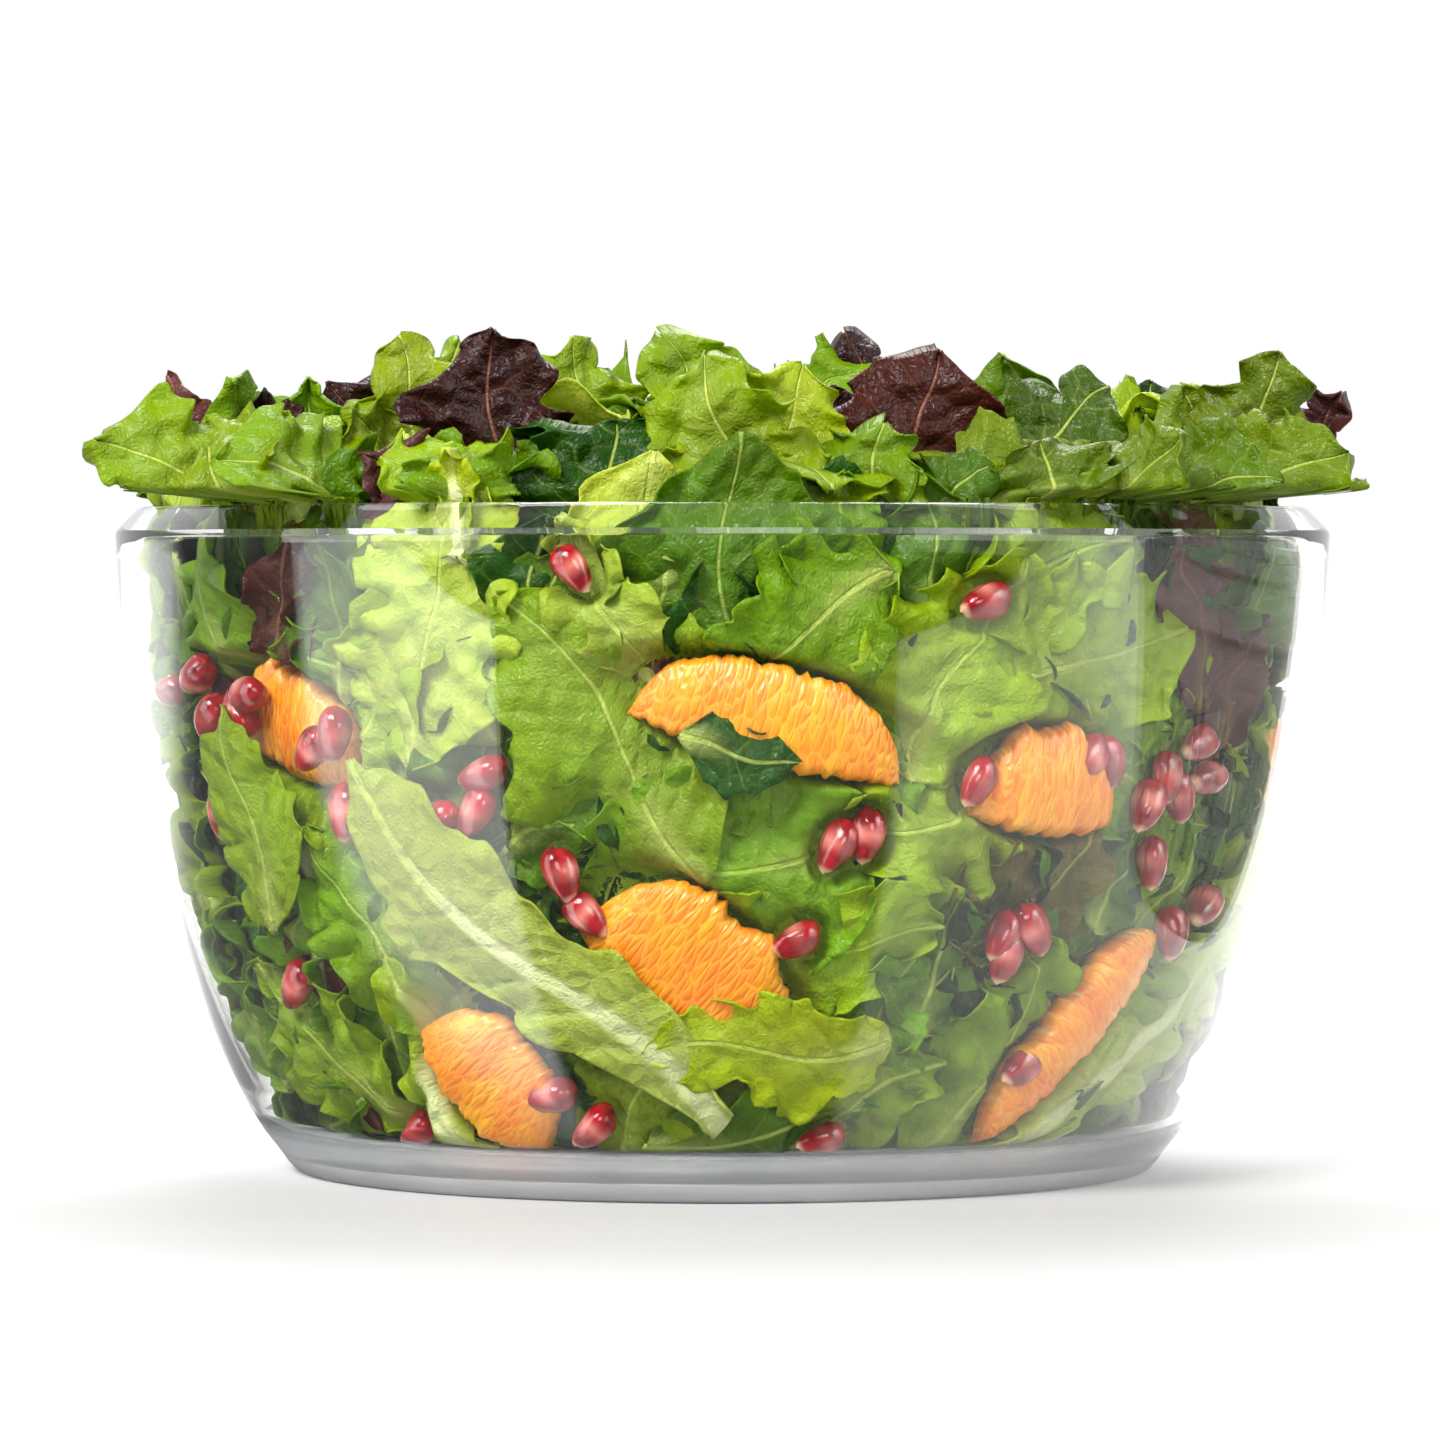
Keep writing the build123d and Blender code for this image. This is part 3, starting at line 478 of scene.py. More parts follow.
def leaf_shape(kind, length, width, seed, nu, nv, ruffle=1.0, cup=0.0, curl=0.0):
    """Blade in its own frame, mm: x across, y from stem to tip, h off the blade. Returns arrays (nu, nv)."""
    r = np.random.RandomState(int(seed) % 2 ** 31)
    u = np.linspace(0, 1, nu) ** 0.92
    v = np.linspace(-1, 1, nv)
    v = np.sign(v) * np.abs(v) ** 0.85
    U, V = np.meshgrid(u, v, indexing="ij")
    if kind == "romaine":
        base = (0.20 + 0.80 * np.clip((u - 0.05) / 0.6, 0, 1) ** 0.8) * np.clip(1 - u, 0, 1) ** 0.33
        lobes, ser, wave, pitch, rib, kl, kh = 0.12, 0.05, 2.6, 17.0, 3.4, 2.4, 3.3
    elif kind == "lobed":
        base = np.sin(np.pi * np.clip(0.04 + 0.93 * u, 0, 1) ** 0.85) ** 0.55
        lobes, ser, wave, pitch, rib, kl, kh = 0.50, 0.05, 2.5, 14.0, 0.45, 1.5, 2.3
    elif kind == "frill":
        base = np.sin(np.pi * np.clip(0.05 + 0.90 * u, 0, 1) ** 0.75) ** 0.5
        lobes, ser, wave, pitch, rib, kl, kh = 0.20, 0.07, 3.1, 10.5, 0.55, 2.2, 3.2
    else:  # oval
        base = np.sin(np.pi * np.clip(0.03 + 0.95 * u, 0, 1) ** 0.9) ** 0.62
        lobes, ser, wave, pitch, rib, kl, kh = 0.06, 0.03, 1.7, 20.0, 0.5, 2.4, 3.3
    base = base * np.sqrt(np.clip(1 - np.clip((u - 0.72) / 0.28, 0, 1) ** 2, 0, 1))
    if kind != "romaine":
        base = base * (0.10 + 0.90 * np.sqrt(np.clip(u / 0.2, 0, 1)))
    ruff = wave * ruffle
    W = np.zeros_like(U)
    slip = np.zeros_like(U)
    for sgn, mask in ((-1, v < 0), (1, v >= 0)):
        ph = r.uniform()
        k = r.uniform(kl, kh)
        comb = np.sqrt(np.abs(np.sin(np.pi * (k * u + ph)))) * 0.75 + 0.25 * np.abs(np.sin(np.pi * (k * u + ph)))
        w = base * (1 - lobes * (1 - comb) * np.clip(u * 4, 0, 1)) * (1 + ser * fbm(u * 4.5, seed * 3 + sgn, 2) + 0.3 * ser * fbm(u * 11, seed * 5 + sgn, 1))
        w = np.maximum(w, 0.03)
        W[:, mask] = w[:, None]
        # lobes sweep towards the tip
        slip[:, mask] = (lobes * 0.05 * np.sin(2 * np.pi * (k * u + ph)))[:, None]
    av = np.abs(V)
    X = V * W * width / 2
    # midrib sways, blade narrows near the stem
    sway = (fbm(u, seed + 7, 1) * 0.05 * length)[:, None]
    Y = U * length + slip * length * av ** 1.5
    # ruffles: the margin is longer than the blade under it, so it waves
    phl, phr = r.uniform(0, 1, 2)
    f1 = length / pitch * r.uniform(0.85, 1.15)
    warp = 0.22 * fbm(U.ravel() * 2, seed + 3, 1).reshape(U.shape)
    ang = 2 * np.pi * (f1 * U + np.where(V < 0, phl, phr) + warp)
    ends = np.clip(U * 3.0, 0.15, 1) * np.clip((1.04 - U) * 6, 0.5, 1)
    env = av ** 2.2 * ends
    ang2 = 2 * np.pi * (f1 * 2.1 * U + np.where(V < 0, phr, phl) + warp)
    env2 = av ** 5
    ang0 = 2 * np.pi * (length / 38.0 * U + np.where(V < 0, phr, phl))
    H = ruff * (env * np.sin(ang) + 0.36 * env2 * np.sin(ang2)) + 3.6 * ruffle * av ** 1.6 * ends * np.sin(ang0)
    Y = Y + ruff * (0.35 * env * np.cos(ang) + 0.2 * env2 * np.cos(ang2))
    X = X * (1 + 0.07 * env * np.cos(ang + 0.8) + 0.04 * env2 * np.cos(ang2))
    # blisters between the veins
    bl = 0.0
    for _ in range(5):
        kx, ky = r.uniform(0.25, 0.62, 2)
        bl = bl + np.sin(X * kx + r.uniform(0, 6.3) + 0.6 * np.sin(Y * ky * 0.5)) * np.sin(Y * ky + r.uniform(0, 6.3))
    H = H + 0.6 * bl * np.clip(av * 3, 0, 1) * (0.5 + 0.5 * ruffle)
    H = H + cup * (X / (width / 2)) ** 2 * width * 0.22
    H = H + 1.2 * fbm(U.ravel() * 1.5, seed + 11, 2).reshape(U.shape) * ruffle
    # the two halves fold about the midrib, and the margins roll over in places
    half = fbm(U.ravel() * 0.9, seed + 17, 1).reshape(U.shape) * (V < 0) + fbm(U.ravel() * 0.9, seed + 23, 1).reshape(U.shape) * (V >= 0)
    H = H + np.abs(X) * 0.24 * (half + 0.25) * ruffle
    roll = np.clip(fbm(U.ravel() * 2.2, seed + 29, 1).reshape(U.shape) + 0.1, 0, 1) * np.clip((av - 0.68) / 0.32, 0, 1) ** 1.5
    X = X * (1 - 0.26 * roll)
    H = H - 5.5 * roll * ruffle
    H = H - np.exp(-(X / (rib * 1.4)) ** 2) * 0.9
    X = X + sway
    # rolls back towards the tip
    if abs(curl) > 1e-3:
        a = curl * np.clip(U, 0, 1.2) ** 2
        a0 = curl
        Yc = np.where(U > 0, length * (np.sin(a) / np.where(np.abs(a) < 1e-4, 1e-4, a)) * U, 0)
        dH = length * U * (1 - np.cos(a)) / np.where(np.abs(a) < 1e-4, 1e-4, a)
        H = H * np.cos(a) + dH
        Y = Y - U * length + Yc - H * 0.0
    ribw = (rib * (1.0 - 0.82 * U) + 0.15)
    return X, Y, H, U, V, ribw, sway


class Salad:
    """Collects leaves into a few meshes."""

    def __init__(self):
        self.groups = {}

    def add(self, group, P, X, Y, U, V, ribw, colour, seed, length, thick=0.27):
        nu, nv = U.shape
        du = np.gradient(P, axis=0)
        dv = np.gradient(P, axis=1)
        n = np.cross(dv, du)
        n /= np.maximum(np.linalg.norm(n, axis=2), 1e-9)[..., None]
        # the midrib stands proud of the blade's back
        t = thick * (1 - 0.45 * np.abs(V) ** 3)
        back = np.exp(-(X / np.maximum(ribw * 0.9, 0.4)) ** 2) * ribw * 0.75
        top = P + n * t[..., None]
        low = P - n * (t + back)[..., None]
        verts = np.concatenate([top.reshape(-1, 3), low.reshape(-1, 3)])
        idx = np.arange(nu * nv).reshape(nu, nv)
        a, b, c, d = idx[:-1, :-1], idx[:-1, 1:], idx[1:, 1:], idx[1:, :-1]
        f1 = np.stack([a, b, c, d], -1).reshape(-1, 4)
        off = nu * nv
        f2 = np.stack([a, d, c, b], -1).reshape(-1, 4) + off
        ring = np.concatenate([idx[0, :-1], idx[:-1, -1], idx[-1, :0:-1], idx[:0:-1, 0]])
        nxt = np.roll(ring, -1)
        f3 = np.stack([nxt, ring, ring + off, nxt + off], -1)
        f = np.concatenate([f1, f2, f3])
        pos = np.stack([X, Y, U], -1).reshape(-1, 3)
        kind = np.stack([np.abs(V), ribw, np.full_like(U, (seed * 0.618) % 1.0)], -1).reshape(-1, 3)
        cc = np.array(srgb(*GREENS[colour]))
        r = np.random.RandomState(int(seed * 13 + 5) % 2 ** 31)
        cc[:3] *= r.uniform(0.86, 1.14) * np.array([r.uniform(0.93, 1.07), 1.0, r.uniform(0.85, 1.1)])
        # rim and heap leaves are toned down by 0.84; painted shade: the further right they stand (x 20 to 70 mm), the
        # darker they are made, for the side away from the light
        if group == "leaves_rim" or group == "leaves_heap":
            cc[:3] *= 0.84 - 0.3 * float(np.clip((P[..., 0].mean() - 20) / 50, 0, 1))
        cc[3] = REDNESS.get(colour, 0.0)
        col = np.broadcast_to(cc, (nu * nv, 4))
        g = self.groups.setdefault(group, {"v": [], "f": [], "p": [], "k": [], "c": [], "n": 0})
        g["v"].append(verts)
        g["f"].append(f + g["n"])
        g["p"].append(np.concatenate([pos, pos]))
        g["k"].append(np.concatenate([kind, kind]))
        g["c"].append(np.concatenate([col, col]))
        g["n"] += len(verts)

    def build(self):
        out = []
        for name, g in self.groups.items():
            o = new_object(name, np.concatenate(g["v"]), np.concatenate(g["f"]), "bowl_set", mats=[LEAF],
                           attrs={"leaf_pos": ("FLOAT_VECTOR", np.concatenate(g["p"])), "leaf_kind": ("FLOAT_VECTOR", np.concatenate(g["k"])),
                                  "leaf_col": ("FLOAT_COLOR", np.concatenate(g["c"]))})
            out.append(o)
        return out


salad = Salad()
S_PX, D_CAM, Z_CAM, Y_H, X_C = 4.51, 1540.0, 129.5, 583.0, 722.5  # the view the bowl is set out for
F_PX = S_PX * D_CAM


def on_wall(px, py):
    """Angle round the bowl and height of the place on the inner wall seen at a point of the view."""
    z, ang = 80.0, 0.0
    for _ in range(12):
        r = float(inner_r(z)) - 3
        depth = D_CAM - r * math.cos(ang)
        x = (px - X_C) * depth / F_PX
        z = Z_CAM - (py - Y_H) * depth / F_PX
        z = min(max(z, 9.0), 146.0)
        ang = math.asin(max(-0.999, min(0.999, x / r)))
    return ang, z


FRUIT = []  # angle, height, tilt, half-length, half-width, the depth a leaf needs to pass behind


def give_way(phi, z, h):
    """Leaves go behind the orange and dimple round the arils."""
    for fa, fz, tilt, hl, hw, need in FRUIT:
        d = (phi - fa + np.pi) % (2 * np.pi) - np.pi
        sx, sy = d * float(inner_r(fz)), z - fz
        a = math.radians(tilt)
        lx, ly = sx * math.cos(a) + sy * math.sin(a), -sx * math.sin(a) + sy * math.cos(a)
        q = (lx / (hl + 1.5)) ** 2 + (ly / (hw + 1.5)) ** 2
        k = np.clip((1.7 - q) / 0.75, 0, 1)
        k = k * k * (3 - 2 * k)
        h = h + k * np.maximum(need - h, 0)
    return h


def wall_leaf(group, ang, z0, rot, length, width, kind, colour, seed, depth=3.0, flat=0.8, nu=60, nv=32, cup=0.0, ruffle=1.0, drop=0.0, over=False):
    """A leaf pressed on the bowl's inner wall: rot is the tip's direction in the view, 90 is up."""
    X, Y, H, U, V, ribw, sway = leaf_shape(kind, length, width, seed, nu, nv, ruffle, cup, 0.0)
    a = math.radians(rot)
    Yc = Y - length / 2
    sx = X * math.sin(a) + Yc * math.cos(a)
    sy = -X * math.cos(a) + Yc * math.sin(a)
    z = z0 + sy
    # what would pass through the floor lies along it instead
    low = np.clip(9.3 - z, 0, None)
    z = np.maximum(z, 9.3 + 0.0 * z) + low * 0.02
    rin = inner_r(np.clip(z, 9, 141))
    room = max(0.6, depth - 0.9)
    Hh = np.where(H < 0, -room * np.tanh(-H * flat / room), np.minimum(H * flat, 14.0)) + depth + drop * (1 - U)
    phi = ang + sx / np.maximum(rin, 60)
    if not over:
        Hh = give_way(phi, z, Hh)
    rad = rin - Hh - low * 0.9
    up = np.clip(z - 139.0, 0, None)
    rad = rad - np.clip(up, 0, 7) * 0.75 + np.clip(up - 7, 0, None) * 0.35
    P = np.stack([rad * np.sin(phi), -rad * np.cos(phi), z + 0.0 * rad], -1)
    salad.add(group, P, X - sway, Y, U, V, ribw, colour, seed, length)


def free_leaf(group, base, tip_dir, face, length, width, kind, colour, seed, curl=0.0, cup=0.0, ruffle=1.0, nu=58, nv=32):
    """A leaf standing free: base is its stem's place (mm), tip_dir its direction, face the way its upper side looks."""
    X, Y, H, U, V, ribw, sway = leaf_shape(kind, length, width, seed, nu, nv, ruffle, cup, curl)
    t = np.array(tip_dir, float); t /= np.linalg.norm(t)
    f = np.array(face, float); f -= t * (f @ t); f /= np.linalg.norm(f)
    s = np.cross(t, f)
    P = np.array(base, float) + X[..., None] * s + Y[..., None] * t + H[..., None] * f
    # above the rim it may lean out over it; lower down it stays inside the wall
    r = np.hypot(P[..., 0], P[..., 1])
    k = np.clip((P[..., 2] - 146.4) / 3.0, 0, 1)
    k = k * k * (3 - 2 * k)
    wall = np.minimum(inner_r(np.clip(P[..., 2], 9, 141)) - 1.0, 124.0 + 8.0 * np.clip((140 - P[..., 2]) / 6, 0, 1))
    want = np.where(r > wall, wall + (r - wall) * k, r)
    P[..., 2] = np.where((r > wall) & (want > 124.5), np.maximum(P[..., 2], 147.0), P[..., 2])
    P[..., 0] *= want / np.maximum(r, 1e-6)
    P[..., 1] *= want / np.maximum(r, 1e-6)
    P[..., 2] = np.maximum(P[..., 2], 10.0)
    salad.add(group, P, X - sway, Y, U, V, ribw, colour, seed, length)


ORANGES = [  # place in the view or (angle, height), tilt, length, width, depth, seed
    ((262, 722), -16, 45, 19, 8.5), ((774, 716), -14, 62, 17, 1.4), ((1058, 782), -4, 38, 19, 1.8),
    ((696, 968), -38, 52, 24, 1.8), ((488, 1078), -56, 36, 22, 1.6), ((1082, 1024), 50, 58, 13, 1.8),
    ((783, 1040), 20, 14, 9, 2.6),
    (88.0, 92.0), (128.0, 66.0), (165.0, 104.0), (-142.0, 110.0), (-118.0, 66.0), (-172.0, 42.0),
]


ARILS = [  # place in the view, tilt of its long side, depth
    (168, 691, 10, 1.4), (193, 676, 30, 1.6), (210, 718, 60, 1.4), (233, 712, -60, 2.0), (243, 694, 0, 1.5), (309, 750, 50, 1.6), (331, 735, 80, 1.4),
    (221, 812, 100, 1.6), (341, 812, 90, 1.8), (374, 821, 20, 1.4), (434, 818, 10, 1.3), (474, 812, 60, 1.5), (480, 774, 20, 1.6),
    (572, 569, 130, 1.6), (560, 874, 110, 1.4), (586, 915, 140, 1.4), (841, 847, 60, 3.2), (872, 836, 80, 3.4), (797, 940, 25, 1.4),
    (988, 602, 20, 1.4), (981, 782, 60, 1.8), (1090, 759, 40, 1.5), (1112, 762, 100, 1.8), (1200, 744, 20, 1.4), (1152, 806, 60, 1.6), (1170, 778, 80, 1.8),
    (1182, 796, 100, 1.5), (1210, 778, 10, 1.6), (1156, 862, 85, 1.6), (1036, 928, 120, 1.4), (1008, 956, 70, 1.4), (1008, 936, 60, 2.6), (1208, 906, 30, 1.6),
    (1178, 932, 80, 2.2), (1024, 1066, 30, 1.6), (294, 984, 60, 1.5), (414, 1131, 40, 1.8), (548, 1094, 10, 1.5), (592, 1126, 45, 1.5), (822, 1140, 20, 1.5),
]
BACK_ARILS = [(100, 60), (118, 95), (140, 48), (150, 110), (172, 72), (-165, 98), (-150, 55), (-132, 84), (-115, 40), (-104, 112)]
BACK_TILTS = [20, -30, 12, 28, -24, 40]
for i, item in enumerate(ORANGES):
    if isinstance(item[0], tuple):
        ang, z = on_wall(*item[0])
        FRUIT.append((ang, z, item[1], item[2] / 2, item[3] / 2, item[4] + 10.5))
    else:
        FRUIT.append((math.radians(item[0]), item[1], BACK_TILTS[i - 7], 23, 10, 13.5))
for px, py, tilt, depth in ARILS:
    ang, z = on_wall(px, py)
    FRUIT.append((ang, max(z, 14.0), tilt, 5.6, 4.0, depth + 7.4))
for a, z in BACK_ARILS:
    FRUIT.append((math.radians(a), z, 0, 5.6, 4.6, 9.0))

# ---- leaves against the wall towards the viewer: place in the view, direction, length, width, kind, colour, depth
FRONT = [
    (520, 950, 133, 106, 46, "romaine", "pale", 2.0), (605, 735, 128, 74, 56, "oval", "light", 3.0),
    (722, 872, 198, 72, 50, "frill", "bright", 3.6), (733, 585, 92, 62, 60, "oval", "mid", 5.0),
    (800, 632, 208, 46, 40, "frill", "bright", 2.4), (968, 665, 62, 52, 46, "frill", "light", 3.4),
    (1108, 655, 12, 50, 46, "frill", "light", 3.0), (432, 618, 76, 62, 42, "frill", "pale", 3.0),
    (372, 700, 60, 58, 34, "frill", "light", 4.6), (262, 818, 100, 48, 30, "frill", "light", 3.0),
    (362, 925, 118, 48, 34, "frill", "bright", 3.4), (186, 850, 96, 52, 30, "frill", "light", 4.2),
    (316, 1040, 138, 48, 34, "frill", "light", 3.4), (226, 985, 112, 46, 30, "frill", "bright", 4.4),
    (424, 1062, 104, 46, 24, "romaine", "light", 2.6), (820, 945, 2, 54, 34, "frill", "light", 2.6),
    (948, 812, 205, 48, 36, "frill", "light", 2.8), (766, 1048, 184, 52, 26, "frill", "yellow", 2.0),
    (882, 1030, 70, 34, 26, "frill", "bright", 4.6), (1000, 1048, 68, 56, 34, "frill", "light", 3.4),
    (1130, 1050, 46, 84, 34, "romaine", "pale", 2.6), (1232, 925, 66, 46, 32, "frill", "pale", 3.6),
    (1040, 892, 30, 44, 34, "frill", "olive", 5.6), (760, 1132, 8, 50, 22, "frill", "mid", 4.0),
    (505, 1132, 264, 22, 15, "frill", "light", 2.0), (640, 1102, 60, 38, 28, "frill", "light", 4.6),
    (528, 598, 80, 32, 26, "oval", "dark", 6.0), (598, 604, 118, 38, 22, "frill", "pale", 2.4),
    (738, 752, 345, 25, 17, "oval", "dark", 2.0), (560, 826, 20, 36, 26, "frill", "mid", 6.5),
    (204, 585, 95, 38, 34, "lobed", "bright", 3.4), (272, 606, 70, 34, 20, "lobed", "red", 5.0),
    (1200, 612, 110, 44, 36, "lobed", "purple", 4.4), (1236, 688, 70, 34, 18, "lobed", "purple", 3.6),
    (1060, 568, 20, 46, 34, "frill", "light", 4.0), (940, 968, 80, 30, 26, "frill", "mid", 4.6),
    (466, 770, 60, 38, 26, "frill", "mid", 6.5), (1128, 880, 60, 24, 20, "frill", "mid", 6.0),
    (556, 1010, 20, 40, 24, "frill", "mid", 6.0), (940, 560, 100, 36, 30, "oval", "mid", 6.0),
    (1268, 582, 80, 34, 26, "frill", "mid", 4.0), (166, 700, 84, 34, 22, "frill", "mid", 5.6),
    (842, 556, 84, 34, 28, "frill", "bright", 5.4), (655, 800, 330, 30, 26, "oval", "dark", 8.0),
    (870, 1100, 30, 36, 24, "frill", "light", 3.6), (1062, 1118, 20, 30, 18, "frill", "mid", 4.0),
    (1180, 780, 100, 40, 32, "frill", "light", 7.0), (1262, 800, 80, 40, 26, "frill", "pale", 5.0),
    (440, 900, 40, 44, 30, "frill", "mid", 7.0), (330, 1118, 20, 34, 18, "frill", "mid", 5.0),
    # painted shade: the leaves in these three rows sit deepest (8.5 to 9 in the depth column) and take the darkest
    # greens, standing for the shade in the gaps between the front leaves
    (600, 905, 60, 30, 26, "oval", "deep", 8.5), (870, 870, 70, 30, 26, "oval", "deep", 8.5),
    (700, 1000, 30, 40, 28, "oval", "dark", 8.5), (1010, 720, 80, 36, 30, "oval", "dark", 8.5),
    (560, 690, 90, 30, 26, "oval", "deep", 9.0), (870, 650, 95, 34, 24, "oval", "deep", 8.8),
    (390, 545, 80, 34, 26, "oval", "mid", 6.5), (320, 620, 95, 36, 26, "oval", "mid", 7.0),
    (450, 500, 92, 22, 16, "romaine", "yellow", 2.4),
    (1150, 960, 60, 46, 30, "frill", "light", 6.0), (1240, 1000, 60, 36, 24, "frill", "pale", 5.0),
]
OVER = {(738, 752), (766, 1048), (262, 818), (520, 950)}  # these lie over the orange
for i, (px, py, rot, length, width, kind, colour, depth) in enumerate(FRONT):
    ang, z = on_wall(px, py)
    over = (px, py) in OVER
    wall_leaf("leaves_front", ang, z, rot, length, width, kind, colour, 101 + i * 7, depth=0.9 if over else depth + 1.6, flat=0.42 if over else 0.95, ruffle=1.15, over=over)
small = np.random.RandomState(21)
for i in range(26):
    ang, z = math.radians(small.uniform(-84, 84)), small.uniform(16, 134)
    wall_leaf("leaves_small", ang, z, small.uniform(0, 360), small.uniform(22, 34), small.uniform(16, 26), ["frill", "frill", "lobed", "oval"][small.randint(4)],
              ["mid", "bright", "dark", "light", "deep", "mid", "dark"][small.randint(7)], 401 + i, depth=small.uniform(6.0, 10.0), flat=0.9, ruffle=1.1, nu=34, nv=20)

# ---- fill: leaves all round the wall, several deep
rnd = np.random.RandomState(4)
fill_cols = ["mid", "light", "dark", "bright", "light", "mid", "deep", "pale", "red", "mid"]
i = 0
for ring, (zc, count) in enumerate([(24, 15), (46, 17), (68, 18), (90, 19), (112, 19), (131, 20)]):
    for k in range(count):
        ang = 2 * math.pi * (k + 0.5 * (ring % 2) + rnd.uniform(-0.25, 0.25)) / count
        front = math.cos(ang) > 0.1
        colour = fill_cols[rnd.randint(len(fill_cols))]
        kind = ["frill", "oval", "frill", "lobed", "romaine"][rnd.randint(5)]
        depth = rnd.uniform(7.5, 11.0) if front else rnd.uniform(4.0, 9.0)
        wall_leaf("leaves_fill_a" if k % 2 else "leaves_fill_b", ang, zc + rnd.uniform(-5, 5), rnd.uniform(0, 360), rnd.uniform(48, 66), rnd.uniform(34, 46),
                  kind, colour, 900 + i, depth=depth, flat=0.55, nu=28, nv=16)
        i += 1
# ---- the wall's far side and flanks get a top layer too
for ring, (zc, count) in enumerate([(26, 7), (52, 8), (78, 9), (104, 9), (127, 9)]):
    for k in range(count):
        ang = math.radians(96 + 168 * (k + 0.5 * (ring % 2)) / (count - 0.5) + rnd.uniform(-5, 5))
        colour = ["light", "bright", "mid", "pale", "light", "red", "dark", "yellow"][rnd.randint(8)]
        kind = ["frill", "frill", "oval", "romaine", "lobed"][rnd.randint(5)]
        wall_leaf("leaves_back", ang, zc + rnd.uniform(-5, 5), rnd.uniform(0, 360), rnd.uniform(44, 74), rnd.uniform(32, 46), kind, colour, 2000 + i,
                  depth=rnd.uniform(1.8, 3.6), flat=0.45, nu=34, nv=20)
        i += 1


def at(px, py, y):
    """The place seen at a point of the view, at a depth y in mm."""
    d = D_CAM + y
    return np.array([(px - X_C) * d / F_PX, y, Z_CAM - (py - Y_H) * d / F_PX])


